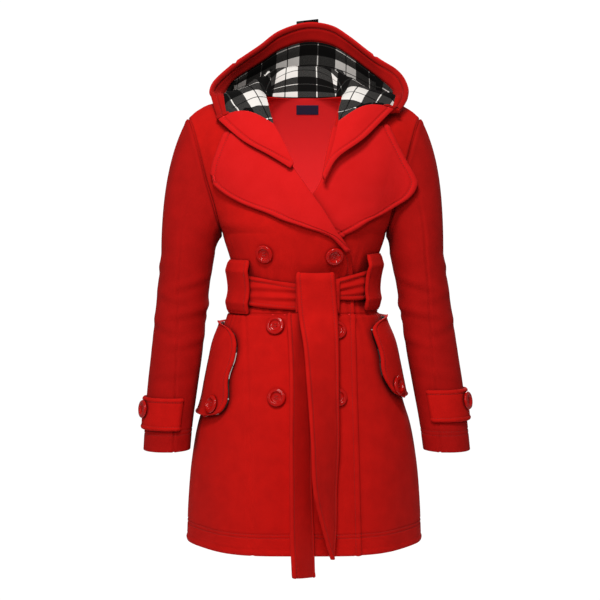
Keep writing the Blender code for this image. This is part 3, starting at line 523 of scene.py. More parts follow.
# %% Stitches
STITCH = {"length": 3.2, "pitch": 4.4, "radius": 0.42, "sides": 4, "rise": (-0.45, 0.2, 0.35, 0.2, -0.45)}
seams = []


def along_side(grid, values, side, distance):
    """Values on the cloth at this distance from one side, one for each line that meets the side."""
    if side in ("first", "last"):
        grid, values = grid.swapaxes(0, 1), values.swapaxes(0, 1)
    if side in ("right", "last"):
        grid, values = grid[:, ::-1], values[:, ::-1]
    lines = zip(lengths(grid, 1), values)
    return np.array([[np.interp(distance, run, value) for value in line.T] for run, line in lines])


def topstitch(worn, distance, *sides, begin=0.0):
    """Rows of stitches at this distance from the sides of a cloth, from a share of their length on."""
    for side in sides:
        line, up = (along_side(worn[0], values, side, distance) for values in worn)
        run = lengths(line[None], 1)[0]
        for start in np.arange(begin * run[-1] + 2.0, run[-1] - STITCH["pitch"], STITCH["pitch"]):
            marks = start + STITCH["length"] * np.linspace(0.0, 1.0, 5)
            middle, above = (
                np.stack([np.interp(marks, run, values) for values in way.T], axis=1) for way in (line, up)
            )
            seams.append(middle + above * np.array(STITCH["rise"])[:, None])


def thread_mesh(name, lines, radius, sides):
    """Every line as a thin round strand with closed ends, in one mesh."""
    points, faces = [], []
    turns = np.linspace(0, 2 * math.pi, sides, endpoint=False)[:, None]
    for line in lines:
        first = len(points)
        ahead = line[-1] - line[0]
        across = unit(np.cross(ahead, (0.31, 0.52, 0.79)))
        ring = np.cos(turns) * across + np.sin(turns) * unit(np.cross(ahead, across))
        for k, middle in enumerate(line):
            points.extend(middle + radius * (0.5 if k in (0, len(line) - 1) else 1.0) * ring)
        for near in range(first, len(points) - sides, sides):
            around = [(near + i, near + (i + 1) % sides) for i in range(sides)]
            faces += [[a, b, b + sides, a + sides] for a, b in around]
        faces += [list(range(first, first + sides))[::-1], list(range(len(points) - sides, len(points)))]
    return make_mesh(name, points, faces, thread_red)


print("stitch", STITCH["length"], "mm long in steps of", STITCH["pitch"], "mm")

# %% [markdown]
# ## The form of the torso
# The coat's body is one smooth tube that is pulled in at the waist and flares to the hem. A shop
# would pad it out; a modeller could sculpt it. Here a table of sections gives its half width and
# its depth to the front and back at each height, and a point is named by its angle and its height.
# Fronts, back, lapels, belt and flaps are all read from this one form, each at its own distance
# from it, so they lie on each other as sewn cloth does.

# %% Sections of the torso
SEAM_TOP, SHOULDER, UNDERARM, WAIST, HEM = 20.0, -17.0, -215.0, -313.0, -740.0
TORSO = Table(
    ("height", "half_width", "front", "back"),
    ((20, 139, 50, 42), (-17, 139, 76, 68), (-60, 139, 98, 90), (-110, 139, 114, 104),
     (-160, 139, 122, 110), (-215, 139, 124, 108), (-262, 124, 113, 98), (-290, 117.5, 104, 91),
     (-313, 116, 101, 89), (-345, 124.5, 104, 94), (-370, 135.5, 110, 102), (-399, 148, 118, 110),
     (-433, 156, 125, 119), (-468, 163, 131, 127), (-500, 169, 136, 134), (-537, 180, 140, 140),
     (-605, 191, 146, 148), (-674, 196, 150, 153), (-740, 198, 152, 156)),
)
ARMHOLE = Table(
    ("height", "side", "front", "back"),
    ((-17, 198, 0, 0), (-28, 193, 16, 18), (-55, 184, 34, 38), (-90, 174, 47, 52),
     (-125, 165, 53, 59), (-160, 154, 53, 58), (-185, 147, 46, 49), (-203, 142, 30, 33),
     (-215, 139, 0, 0)),
)
SHOULDER_SEAM = Table(
    ("height", "side", "depth"),
    ((20, 66, 8), (13, 124, 7), (6, 160, 5), (-4, 182, 2), (-17, 198, 0)),
)
SECTION_POWER = 2.3  # 2 would be an ellipse; more is squarer
FLARE_WAVES, FLARE_DEPTH = 3, 3.5
CINCH_WAVES, CINCH_DEPTH = 46, 1.1  # the fine pleats under the belt


def side_of(z, front):
    """(x, y) of a section's end: side seam, armhole or shoulder seam, by its height."""
    arm = np.where(front, -ARMHOLE.at("front", z), ARMHOLE.at("back", z))
    x = np.where(z <= SHOULDER, ARMHOLE.at("side", z), SHOULDER_SEAM.at("side", z))
    y = np.where(z <= SHOULDER, arm, SHOULDER_SEAM.at("depth", z))
    return np.where(z <= UNDERARM, TORSO.at("half_width", z), x), np.where(z <= UNDERARM, 0.0, y)


def start_angle(z):
    """Where a section's front begins, in degrees: it moves up from the side to the armhole's edge."""
    return 42.0 * smooth_step(z, UNDERARM, -150.0) + 18.0 * smooth_step(z, -60.0, SHOULDER)


def torso_point(angle, z):
    """A point of the torso. The angle runs from the right side by the front to the left."""
    angle, z = np.broadcast_arrays(np.asarray(angle, float) % 360.0, np.asarray(z, float))
    front = angle <= 180.0
    turn, start = np.radians(angle), np.radians(start_angle(z))
    side_x, side_y = side_of(z, front)
    power = 2.0 / SECTION_POWER
    cos, sin = np.cos(turn), np.abs(np.sin(turn))
    x = side_x * np.sign(cos) * np.abs(cos) ** power / np.cos(start) ** power
    depth = np.where(front, -TORSO.at("front", z), TORSO.at("back", z))
    y = side_y + (depth - side_y) * (sin**power - np.sin(start) ** power) / (1 - np.sin(start) ** power)
    wave = FLARE_DEPTH * smooth_step(-z, 430.0, 740.0) * np.cos(2 * FLARE_WAVES * turn)
    return np.stack([x * (1 + wave / 190.0), y * (1 + wave / 150.0), z], axis=-1)


def torso_normal(angle, z):
    """The direction out of the torso at an angle and a height."""
    around = torso_point(angle + 0.5, z) - torso_point(angle - 0.5, z)
    along = torso_point(angle, np.minimum(z + 2.0, SEAM_TOP)) - torso_point(angle, np.maximum(z - 2.0, HEM))
    return unit(np.cross(along, around))


def on_torso(angle, z, height=0.0):
    """A point this far out from the torso."""
    angle, z = np.broadcast_arrays(np.asarray(angle, float), np.asarray(z, float))
    return torso_point(angle, z) + np.asarray(height)[..., None] * torso_normal(angle, z)


def angle_at(x, z, front=True):
    """The angle whose point lies at this x on a section."""
    side_x, _ = side_of(z, front)
    share = np.minimum(np.abs(x) / side_x, 1.0) ** (SECTION_POWER / 2.0) * np.cos(np.radians(start_angle(z)))
    return np.degrees(np.arccos(np.copysign(share, x)))


def on_front(x, z, height=0.0):
    """The torso's front over (x, z). Past the last stretch of a section it runs on straight."""
    x, z, height = np.broadcast_arrays(np.asarray(x, float), np.asarray(z, float), np.asarray(height, float))
    limit = 0.9 * side_of(z, True)[0]
    held = np.clip(x, -limit, limit)
    point = on_torso(angle_at(held, z), z, height)
    edge = np.copysign(limit, x)
    outer = on_torso(angle_at(edge, z), z, height)
    slope = outer - on_torso(angle_at(edge * 0.96, z), z, height)
    slope = slope / slope[..., :1]
    beyond = outer + slope * (x - outer[..., 0])[..., None] * np.array([1.0, 0.4, 1.0])
    return np.where((np.abs(x) > limit)[..., None], beyond, point)


waist_line = torso_point(np.linspace(0, 359.9, 200), WAIST)
print("waist girth", round(float(lengths(waist_line[None], 1)[0, -1])), "mm")

# %% [markdown]
# ## Fronts and back
# Three pieces wrap the body. The back reaches from side seam to side seam. The two fronts overlap,
# so the one on top has to rise over the other and over the other's lapel, and it does so in a
# smooth ramp. Small relief is what turns a smooth tube into cloth: both sides of a seam dip, the
# belt gathers the waist into fine pleats, a line of stitching runs 8 mm inside each turned edge,
# and the hem is turned up 35 mm and stitched in two rows.

# %% Heights of the fronts
OVER_EDGE = Table(
    ("height", "x"),
    ((20, -66), (11, -63.5), (-12, -57.5), (-30, -53), (-70, -36), (-108, -20), (-158, 14), (-200, 40),
     (-236, 67), (-255, 73), (-313, 79), (-500, 85), (-740, 90)),
)
UNDER_EDGE = Table(
    ("height", "x"),
    ((20, 66), (11, 63.5), (-12, 57.5), (-30, 53.5), (-70, 45), (-100, 38), (-129, 29), (-158, 13),
     (-200, -16), (-236, -40), (-262, -54), (-313, -57), (-740, -60)),
)
RISE = {"begin": 112.0, "end": 14.0}  # the ramp, measured inward from the under front's edge
CROSSING = {"height": (-285.0, -240.0), "inside": (-75.0, -30.0)}  # where it has the other lapel under it
OVERLAP_LIFT = CLOTH + LAY
LAPEL_LIFT = DOUBLE + 1.3 * LAY
BODY_SEAMS = {"waist": -350.0, "hem": (-706.0, -712.0)}
ROW_WIDTH = 1.3  # half the width of the dent under a row of stitches
AXIS, BEHIND = (0.0, 0.0, -300.0), (0.0, 400.0, -300.0)  # places that a cloth's face turns away from
ARM_MIDDLE = np.array([0.0, 0.0, -110.0])


def over_height(x, z):
    """How far the over front's outer face stands off the torso."""
    edge = UNDER_EDGE.at("x", z)
    overlap = smooth_step(x, edge - RISE["begin"], edge - RISE["end"])
    crossing = smooth_step(z, *CROSSING["height"])
    crossing = crossing * smooth_step(x - OVER_EDGE.at("x", z), *CROSSING["inside"])
    return overlap * (OVERLAP_LIFT + (LAPEL_LIFT + 2.0 * LAY) * crossing)


def flat_rest(x, z):
    """The under front lies on the torso itself."""
    return np.zeros(np.broadcast(x, z).shape)


def front_height(x, z):
    """The height that a piece across both fronts rests on."""
    return over_height(x, z) * (1 - smooth_step(x - OVER_EDGE.at("x", z), 8, 50))


def body_relief(angle, z):
    """Gathers where the belt draws the cloth in, the waist seam and the two rows over the hem."""
    turn = np.radians(angle)
    near_belt = ripple(z + 318, 62) * (0.55 + 0.45 * np.sin(7 * turn + 1.0))
    relief = CINCH_DEPTH * near_belt * np.cos(CINCH_WAVES * turn + 1.3 * np.sin(5 * turn) + z / 90.0)
    seam = z - BODY_SEAMS["waist"]
    relief = relief - 2.2 * ripple(seam, 2.0) + 1.1 * ripple(seam + 6.5, 4.0)
    for row in BODY_SEAMS["hem"]:
        relief = relief - 1.1 * ripple(z - row, ROW_WIDTH)
    return relief


def panel_rows():
    """Heights from neck to hem: closer together at the neck, the waist seam and the hem."""
    marks = [20, 19, 17, 14, -17, -215, -262, -300, -345, -356, -430, -690, -702, -716, -736, -738.5, -740]
    steps = [2, 2, 2, 12, 60, 22, 16, 18, 9, 20, 52, 6, 11, 8, 2, 2]
    runs = [np.linspace(a, b, n, endpoint=False) for a, b, n in zip(marks, marks[1:], steps)]
    return np.concatenate(runs + [[HEM]])


ROWS = panel_rows()


def armhole_out(points):
    """The direction away from the middle of the armhole: both cloths of its seam dip against it."""
    away = points - ARM_MIDDLE
    away[..., 0] = 0.0
    return unit(away)


def panel_directions(grid, front, seam_columns):
    """Normals of a panel, and the directions across its seams that a rim must not lean in."""
    normals, guards = facing(grid, AXIS), np.zeros(grid.shape)
    normals[0] = normals[1]
    arm = (ROWS > UNDERARM) & (ROWS < SHOULDER)
    for column, sign in seam_columns:
        normals[arm, column] = armhole_out(grid[arm, column])
        guards[arm, column, 0] = sign
        guards[~arm, column, 1] = 1.0 if front else -1.0
        upper = ROWS >= SHOULDER
        normals[upper, column, 1] = 0.0
        normals[upper, column] = unit(normals[upper, column])
    return normals, guards


# %% Fronts
PANEL_SEAM = Table(("height", "x"), ((-350, -97), (-520, -90), (-740, -84)))


def front_panel(name, left, edge, height, seam=None):
    """One front, from its side seam to its edge, at its height over the torso."""
    begin = np.where(left, 180.0 - start_angle(ROWS), start_angle(ROWS))
    end = angle_at(edge.at("x", ROWS), ROWS)
    angles = begin[:, None] + (end - begin)[:, None] * spread(76, 230.0)
    heights = np.broadcast_to(ROWS[:, None], angles.shape)
    x = torso_point(angles, heights)[..., 0]
    lift = height(x, heights)
    lift[:, 0] = 0.0
    grid = on_torso(angles, heights, lift)
    normals, guards = panel_directions(grid, True, [(0, -1.0 if left else 1.0)])
    relief = body_relief(angles, heights)
    if seam:
        relief = relief - 1.7 * ripple(x - seam.at("x", heights), 2.0) * smooth_step(-heights, 350, 356)
    return cloth(name, grid, AXIS, normals=normals, guards=guards, relief=relief, held="hung",
                 sewn=("left", "first"), turned=("right", "last"), rests_on=["back"])


over_worn = front_panel("front_over", True, OVER_EDGE, over_height, PANEL_SEAM)
under_worn = front_panel("front_under", False, UNDER_EDGE, flat_rest)
for worn in (over_worn, under_worn):
    topstitch(worn, 8.0, "right", begin=0.42)


# %% Back
def back_panel():
    """The back in one piece, from side seam to side seam."""
    start = start_angle(ROWS)[:, None]
    angles = np.minimum(180.0 + start + (180.0 - 2 * start) * spread(110, 420.0), 359.999)
    heights = np.broadcast_to(ROWS[:, None], angles.shape)
    grid = on_torso(angles, heights)
    grid[:, 0], grid[:, -1] = torso_point(angles[:, 0], ROWS), torso_point(angles[:, -1], ROWS)
    normals, guards = panel_directions(grid, False, [(0, -1.0), (-1, 1.0)])
    return cloth("back", grid, AXIS, normals=normals, guards=guards, relief=body_relief(angles, heights),
                 held="hung", sewn=("left", "right", "first"), turned=("last",),
                 rests_on=["front_over", "front_under"])


for worn in (over_worn, under_worn, back_panel()):
    for row in BODY_SEAMS["hem"]:
        topstitch(worn, row - HEM, "last")
print("stitches", len(seams))

# %% [markdown]
# ## Sleeves
# A coat sleeve is cut in two parts and set into the armhole with a little ease, so its head leaves
# the shoulder at a slope and then falls. A tube through rings gives that: the first ring is the
# armhole itself, the next ones bend over to the first level ring, and the rest follow the arm's
# slight swing to the front. The front seam is a dent down the tube, and soft creases lie where an
# elbow would bend.

# %% Sleeve tables
SLEEVE = Table(
    ("height", "centre", "half_width", "half_depth", "forward"),
    ((-250, 199, 46.0, 56, 0), (-300, 206, 44.5, 53, 1), (-360, 212, 44.0, 50, 6),
     (-420, 218, 43.8, 47, 14), (-480, 225, 42.8, 45, 22), (-540, 231, 40.8, 43, 28),
     (-582, 234, 40.0, 42, 31)),
)
SLEEVE_TOP, CUFF = -250.0, -582.0
CUFF_ROWS = (-548.0, -555.0)  # the heights of its two rows of stitches
ARM_HEIGHTS = np.array([-17, -28, -55, -90, -125, -160, -185, -203, -215], float)
CAP_SLOPE = np.array([0.5, 0.0, -0.86])  # the way that the cloth leaves the armhole
CAP_REACH = 0.32  # how long it keeps that way, as a share of its run to the first level ring
RIGHT_SWING = (-6.0, 9.0)
SLEEVE_SEAM = Table(("height", "turn"), ((-250, 76), (-400, 93), (-582, 112)))
CREASES = (
    # height at the middle, turn, length in degrees, slope, depth
    (-300, 100, 60, 0.28, 1.4), (-322, 70, 50, -0.22, 1.1), (-347, 110, 70, 0.20, 1.5),
    (-372, 60, 55, -0.30, 1.2), (-398, 120, 60, 0.16, 1.2), (-335, 200, 60, 0.25, 1.3),
    (-365, 240, 70, -0.2, 1.3), (-280, 330, 60, 0.3, 1.2), (-450, 90, 50, 0.15, 0.8),
)
CREASE_DEPTH = 1.7  # how much deeper they are than in the table


def sleeve_ring(left, z, angles):
    """Points of the sleeve at a height: the angle runs from its outside by the front to its inside."""
    sign = -1.0 if left else 1.0
    z, angles = np.broadcast_arrays(np.asarray(z, float), np.asarray(angles, float))
    swing = 0.0 if left else np.interp(-z, (-SLEEVE_TOP, -CUFF), RIGHT_SWING)
    x = sign * (SLEEVE.at("centre", z) + swing + SLEEVE.at("half_width", z) * np.cos(angles))
    y = -SLEEVE.at("forward", z) - SLEEVE.at("half_depth", z) * np.sin(angles)
    return np.stack([x, y, z], axis=-1)


def armhole_loop(left, count):
    """Points of the armhole from the shoulder down the front to the underarm and up the back."""
    coarse = np.concatenate([ARM_HEIGHTS, ARM_HEIGHTS[-2::-1]])
    fine = np.interp(np.linspace(0, len(coarse) - 1, count, endpoint=False), np.arange(len(coarse)), coarse)
    x, y = side_of(np.minimum(fine, SHOULDER - 0.0001), np.arange(count) <= count // 2)
    return np.stack([-x if left else x, y, fine], axis=1)


def sleeve(name, left, count=112, cap=26):
    """A tube from the armhole over the sleeve's head and down to the cuff."""
    sign = -1.0 if left else 1.0
    loop = armhole_loop(left, count)
    angles = np.linspace(0, 2 * math.pi, count, endpoint=False)
    top = sleeve_ring(left, SLEEVE_TOP, angles)
    span = CAP_REACH * np.linalg.norm(top - loop, axis=1, keepdims=True)
    leave = loop + CAP_SLOPE * np.array([sign, 1.0, 1.0]) * span
    arrive = top + np.array([0.0, 0.0, 1.0]) * span
    rings = []
    for t in np.linspace(0, 1, cap + 1)[:-1] ** 1.25:
        near = (1 - t) ** 2 * (loop * (1 - t) + 3 * t * leave)
        rings.append(near + t**2 * (3 * (1 - t) * arrive + t * top))
    runs = [np.linspace(SLEEVE_TOP, -540, 66), np.linspace(-543, -578, 16), [-579.5, -581, CUFF]]
    rings += [sleeve_ring(left, z, angles) for z in np.concatenate(runs)]
    grid = np.array(rings)
    normals = facing(grid, (grid[:, :, 0].mean(), 0.0, -300.0), closed=True)
    degrees = np.degrees(angles)[None, :]
    levels = grid[..., 2]
    relief = sewn_edge(to_edge(grid, "first"))
    seam = degrees - SLEEVE_SEAM.at("turn", levels)
    relief = relief + (0.9 * ripple(seam, 8.0) - 2.8 * ripple(seam, 2.2)) * smooth_step(-levels, 60, 240)
    for level, turn, reach, slope, depth in CREASES:
        away = (degrees - turn + 180.0) % 360.0 - 180.0
        line = levels - level - slope * away * 0.8
        crease = ripple(line, 9.0) - 0.6 * ripple(line + 13.0, 7.0)
        relief = relief + CREASE_DEPTH * depth * ripple(away, reach) * crease
    for row in CUFF_ROWS:
        relief = relief - ripple(levels - row, ROW_WIDTH)
    normals[0] = armhole_out(grid[0])
    # The sleeves take the darker copy of the coating, which is painted shade.
    return cloth(name, grid, None, normals=normals, relief=relief, closed=True, sewn=("first",), held="hung",
                 skin=shaded_fleece, rests_on=["front_over" if left else "front_under", "back"])


for worn in (sleeve("sleeve_left", True), sleeve("sleeve_right", False)):
    for row in CUFF_ROWS:
        topstitch(worn, row - CUFF, "last")
print("stitches", len(seams))

# %% [markdown]
# ## Lapels
# The lapels are double cloth, turned out and stitched 9.5 mm inside the edge, and that is what makes
# the soft piped lip that catches the light. They could be sculpted, but a grid whose rows run from
# the roll line to the edge gives the lip for nothing: the relief only asks how far the edge is.

# %% Lapels
LAPEL_OVER = (
    # roll x, roll z, edge x, edge z
    (-47, -52, -128, -50), (-38, -75, -141, -83), (-24, -104, -149, -112), (-14, -119, -144, -134),
    (0, -139, -102, -164), (15, -160, -56, -183), (28, -179, -32, -194), (41, -200, 2, -205),
    (55, -220, 38, -216), (68, -239, 63, -238),
)
LAPEL_UNDER = (
    (49, -40, 135, -38), (43, -64, 147, -63), (37, -90, 165, -90), (33, -111, 184, -119),
    (30, -127, 187, -134), (22, -143, 173, -154), (9, -164, 133, -179), (20, -181, 98, -197),
    (33, -201, 71, -213), (43, -212, 58, -222),
)
EDGE_LIFT, LAPEL_TUCK = 3.0, 0.5


def through(points, steps):
    """A smooth curve through the points, with this many steps to each span."""
    points = np.asarray(points, float)
    padded = np.concatenate([[2 * points[0] - points[1]], points, [2 * points[-1] - points[-2]]])
    t = (np.arange(steps) / steps).reshape((-1,) + (1,) * (points.ndim - 1))
    curve = []
    for before, start, end, after in zip(padded, padded[1:], padded[2:], padded[3:]):
        square, cube = 2 * before - 5 * start + 4 * end - after, 3 * start - before - 3 * end + after
        curve.append(0.5 * (2 * start + (end - before) * t + (square * t**2 + cube * t**3)))
    return np.concatenate(curve + [points[-1:]])


def bridged(x, z, height):
    """The front's form as thick cloth bridges it, without the crease beside the right armhole."""
    plain, share = on_front(x, z, height), smooth_step(x, 95, 125)[..., None]
    near = np.mean([on_front(x + step, z, height + 1.0) for step in (-16, -8, 0, 8, 16)], axis=0)
    return plain + share * (near - plain)


def lapel(name, rows, rest, rests_on):
    """Double cloth between its roll line and its outer edge, resting on a front at this height."""
    lines = through(rows, 10)
    shares = spread(40, 100.0, (0.0, 1.5, 3.0, 4.5, 6.0, 7.5, 8.5, 9.5, 11.0))
    x = lines[:, [0]] + (lines[:, [2]] - lines[:, [0]]) * shares
    z = lines[:, [1]] + (lines[:, [3]] - lines[:, [1]]) * shares
    free = np.ones_like(x) if rest is over_height else smooth_step(x - OVER_EDGE.at("x", z), 8, 45)
    lift = rest(x, z) + LAPEL_LIFT + EDGE_LIFT * shares * free - LAPEL_TUCK * (1 - free)
    grid = bridged(x, z, lift)
    # The lapels take the lighter copy of the coating, which is painted light.
    worn = cloth(name, grid, BEHIND, DOUBLE, relief=piped_edge(to_edge(grid, "right")), turned=("last",),
                 sewn=("first",), held="folded", skin=lit_fleece, rests_on=[rests_on])
    topstitch(worn, PIPED["stitch"], "right")


lapel("lapel_over", LAPEL_OVER, over_height, "front_over")
lapel("lapel_under", LAPEL_UNDER, flat_rest, "front_under")
print("stitches", len(seams))

# %% [markdown]
# ## The hood
# The hood is the coat's showpiece. Three red panels, a gusset between two sides, make the shell,
# three check panels line it, and a band of the coating turns in round the opening. Pushed back, it
# stands round the neck and falls in a soft bag behind. Cloth simulation would find some such shape,
# but not this one; so the form is lofted. Each row of a small table is one section from the neck
# seam over the inner fold, down into the bag, up its back and out to the rim, and smooth curves
# run through the rows. Lining, band and shell are the same grid moved out by their thicknesses.

# %% Hood sections
HOOD_PLY = 1.3  # the air between the lining and the shell
HOOD_STACK = LINING + HOOD_PLY + CLOTH
HOOD_STAND = LAPEL_LIFT + LAY + HOOD_STACK + EDGE_LIFT
HOOD_ROLL = 0.06  # how far the middle of a flap stands up, as a share of its width
BAND_SPANS, LINED_SPANS, ROW_SPANS = 22, 64, 5
FLAP_LINED = 7 / 9  # the share of a flap's section that the lining takes
BAND_WIDTHS = (18, 22, 27, 32, 35, 36, 36, 36)  # of the turned band, at each section
HOOD_LEFT_FLAP = (
    # neck x, neck z, rim x, rim z, rise of its middle
    (-17, -107, -22, -113, 0), (-26.5, -86, -56, -91, 1), (-37, -64, -97, -67, 4), (-49, -41, -138, -32, 13),
)
HOOD_RIGHT_FLAP = (
    (27, -124, 31, -131, 0), (39, -98, 50, -99, 1), (47, -71, 92, -67, 4), (53, -42, 140, -23, 12),
)
HOOD_SECTIONS = (
    # neck             fold             bag               back              rim
    ((-57, -78, -12), (-80, -78, -4), (-110, -68, -4), (-132, -58, -10), (-146, -52, -18)),
    ((-63, -54, 11), (-84, -44, 24), (-114, -34, 22), (-140, -28, 18), (-157, -22, 16)),
    ((-65, -26, 20.5), (-82, -10, 40), (-115, 10, 30), (-145, 16, 26), (-158, 2, 31)),
    ((-63, 4, 20.8), (-75, 20, 54), (-108, 46, 28), (-138, 44, 28), (-148, 26, 51)),
    ((-54, 24, 20.8), (-62, 44, 69), (-93, 98, -8), (-124, 114, 14), (-117, 58, 81)),
    ((-37, 33, 20.8), (-43, 56, 72), (-62, 122, -50), (-84, 166, 10), (-75, 86, 114)),
    ((-18, 37, 20.8), (-21, 62, 73), (-30, 134, -78), (-40, 192, 6), (-42, 101, 141)),
    ((0, 38, 20.8), (0, 66, 73), (0, 138, -86), (0, 202, 4), (4, 110, 157)),
)
RIGHT_RIMS = (
    (160, -48, -8), (175, -18, 13), (175, 8, 38), (160, 40, 67), (121, 70, 94), (77, 97, 132), (46, 106, 152),
)


def spaced(curve, width):
    """The curve at even marks over the lining and narrower ones over the band at the rim."""
    run = lengths(curve[None], 1)[0]
    band = min(width, 0.4 * run[-1])
    lined = np.linspace(0, run[-1] - band, LINED_SPANS + 1)
    marks = np.concatenate([lined, np.linspace(run[-1] - band, run[-1], BAND_SPANS + 1)[1:]])
    return np.stack([np.interp(marks, run, curve[:, axis]) for axis in range(3)], axis=1)


def flap_section(neck_x, neck_z, rim_x, rim_z, rise):
    """A section of the hood's front flap, which lies turned out on the coat."""
    t = np.linspace(0, FLAP_LINED, LINED_SPANS + 1)
    t = np.concatenate([t, np.linspace(FLAP_LINED, 1, BAND_SPANS + 1)[1:]])
    x, z = neck_x + (rim_x - neck_x) * t, neck_z + (rim_z - neck_z) * t + rise * np.sin(math.pi * t)
    roll = HOOD_ROLL * math.hypot(rim_x - neck_x, rim_z - neck_z)
    return on_front(x, z, over_height(x, z) + HOOD_STAND + roll * np.sin(math.pi * t))


def hood_grid():
    """Sections from the left tip round the back of the neck to the right tip."""
    grid = [flap_section(*row) for row in HOOD_LEFT_FLAP]
    grid += [spaced(through(section, 24), width) for section, width in zip(HOOD_SECTIONS, BAND_WIDTHS)]
    for section, rim, width in zip(HOOD_SECTIONS[-2::-1], RIGHT_RIMS[::-1], BAND_WIDTHS[-2::-1]):
        spread_x = (rim[0] + section[4][0]) / 2
        mirrored = [(-x + spread_x * (k / 3), y, z) for k, (x, y, z) in enumerate(section[:4])]
        grid.append(spaced(through(mirrored + [rim], 24), width))
    grid += [flap_section(*row) for row in HOOD_RIGHT_FLAP[::-1]]
    return through(np.array(grid), 2 * ROW_SPANS)


hood_face = hood_grid()
hood_in = grid_normals(hood_face)
middle_row = len(hood_face) // 2
if hood_in[middle_row, 0] @ np.array([0.0, -1.0, 0.3]) < 0:
    hood_in = -hood_in
FLAP_ROWS = 2 * ROW_SPANS * len(HOOD_LEFT_FLAP)
SIDE = FLAP_ROWS - 2 * ROW_SPANS
GUSSET = FLAP_ROWS + 2 * ROW_SPANS * 4
LAST = len(hood_face) - 1
END = hood_face.shape[1] - 1
hood_in[FLAP_ROWS:-FLAP_ROWS, 0, 2] = 0.0  # the cloths meet side by side at the neck's seam
hood_in[:, 0] = unit(hood_in[:, 0])
print("hood grid", hood_face.shape, "gusset at", GUSSET)


# %% Hood pieces
def hood_piece(name, rows, columns, turned=(), sewn=(), near=0.0, far=LINING, outward=False, relief=None,
               marks=None, **look):
    """A cut of the hood's grid between two depths. Near is the side that shows."""
    cut = (slice(rows[0], rows[1] + 1), slice(columns[0], columns[1] + 1))
    face, inside = hood_face[cut], hood_in[cut]
    return cloth(name, face - inside * near, None, backing=face - inside * far, turned=turned, sewn=sewn,
                 normals=-inside if outward else inside, relief=0.0 if relief is None else relief[cut],
                 marks=None if marks is None else marks[cut], rests_on=["back", "front_over", "front_under"],
                 **look)


band_relief = piped_edge(to_edge(hood_face, "right"))
for part, rows, sewn in (
    ("left", (0, GUSSET), ("left", "last")),
    ("centre", (GUSSET, LAST - GUSSET), ("left", "first", "last")),
    ("right", (LAST - GUSSET, LAST), ("left", "first")),
):
    hood_piece(f"hood_{part}", rows, (0, END), (), sewn, HOOD_STACK, LINING + HOOD_PLY, outward=True,
               relief=0.3 * band_relief)
print("the hood's middle reaches", hood_face[middle_row, :, 2].max().round(), "mm")


# %% [markdown]
# The check has to lie on the lining the way that the cut cloth does, so each side panel is laid
# flat first. An unwrap tool would do it too; a few hundred small pulls are as short to write. Every
# stretch between two points is a spring of its worn length, and the panel settles flat. The gusset
# is a plain strip, so its own lengths are its map. The cloth crumples where it turns into the neck,
# which crushes the rows of the check there.

# %% Laying a panel flat
def enlarge(values, marks, size):
    """Values given at these marks of the first axis, read at every whole number below the size."""
    lines = values.reshape(len(marks), -1).T
    wide = np.stack([np.interp(np.arange(size), marks, line) for line in lines], axis=1)
    return wide.reshape((size,) + values.shape[1:])


def flatten(grid, every=5, rounds=900, haste=1.6):
    """Lays a panel flat as a cutter would: each short stretch keeps the length that it has when worn."""
    rows, columns = (np.unique(np.append(np.arange(0, n, every), n - 1)) for n in grid.shape[:2])
    coarse = grid[np.ix_(rows, columns)]
    across, along = lengths(coarse, 1).mean(axis=0), lengths(coarse, 0).mean(axis=1)
    flat = np.stack(np.meshgrid(across, along), axis=2)
    cut, keep, start = slice(None, -1), slice(None), slice(1, None)
    pairs = [((keep, cut), (keep, start)), ((cut, keep), (start, keep)), ((cut, cut), (start, start)),
             ((cut, start), (start, cut))]
    rests = [np.linalg.norm(coarse[b] - coarse[a], axis=2, keepdims=True) for a, b in pairs]
    for _ in range(rounds):
        move, share = np.zeros_like(flat), np.zeros(flat.shape[:2] + (1,))
        for (a, b), rest in zip(pairs, rests):
            gap = flat[b] - flat[a]
            pull = gap * (1 - rest / np.linalg.norm(gap, axis=2, keepdims=True)) / 2
            move[a] += pull
            move[b] -= pull
            share[a] += 1
            share[b] += 1
        flat += haste * move / share
    filled = enlarge(flat.swapaxes(0, 1), columns, grid.shape[1]).swapaxes(0, 1)
    return enlarge(filled, rows, grid.shape[0])


# %% Lining and band of the hood
NECK_CRUSH = 1.6  # how much faster the check runs between the neck and the fold's crest
CHECK_START = {"across": 23.0, "along": 56.0}  # where its repeat stands on the gusset
GRAIN = {
    # turn in degrees, start up, start along
    "left": (22.0, 43.0, 90.0),
    "right": (-22.0, 43.0, 82.0),
}
own_length, along_panel = lengths(hood_face, 1)[middle_row], lengths(hood_face, 0)
crest = own_length[np.argmax(hood_face[middle_row, : LINED_SPANS // 2, 2])]
gusset_marks = np.zeros(hood_face.shape[:2] + (2,))
gusset_marks[..., 0] = NECK_CRUSH * np.minimum(own_length, crest) + np.maximum(own_length - crest, 0.0)
gusset_marks[..., 0] += CHECK_START["across"]
gusset_marks[..., 1] = along_panel - along_panel[[middle_row]] + CHECK_START["along"]
print("neck to crest", crest.round(), "crest to rim", (own_length[-1] - crest).round())


def side_marks(part, rows):
    """The map of a side panel: laid flat, turned to its grain and moved to its place on the check."""
    turn, *begin = GRAIN[part]
    marks = np.zeros(gusset_marks.shape)
    cut = (slice(rows[0], rows[1] + 1), slice(0, LINED_SPANS + 1))
    flat = flatten(hood_face[cut])
    flat = flat - flat[-1 if part == "left" else 0, 0]
    cos, sin = math.cos(math.radians(turn)), math.sin(math.radians(turn))
    marks[cut] = flat @ np.array([[cos, sin], [-sin, cos]]) + begin
    return marks


for part, rows in (
    ("left", (SIDE, GUSSET)),
    ("centre", (GUSSET, LAST - GUSSET)),
    ("right", (LAST - GUSSET, LAST - SIDE)),
):
    marks = gusset_marks if part == "centre" else side_marks(part, rows)
    hood_piece(f"hood_lining_{part}", rows, (0, LINED_SPANS), (), ("first", "last", "right"), marks=marks,
               skin=check_flannel, slot="check_flannel")
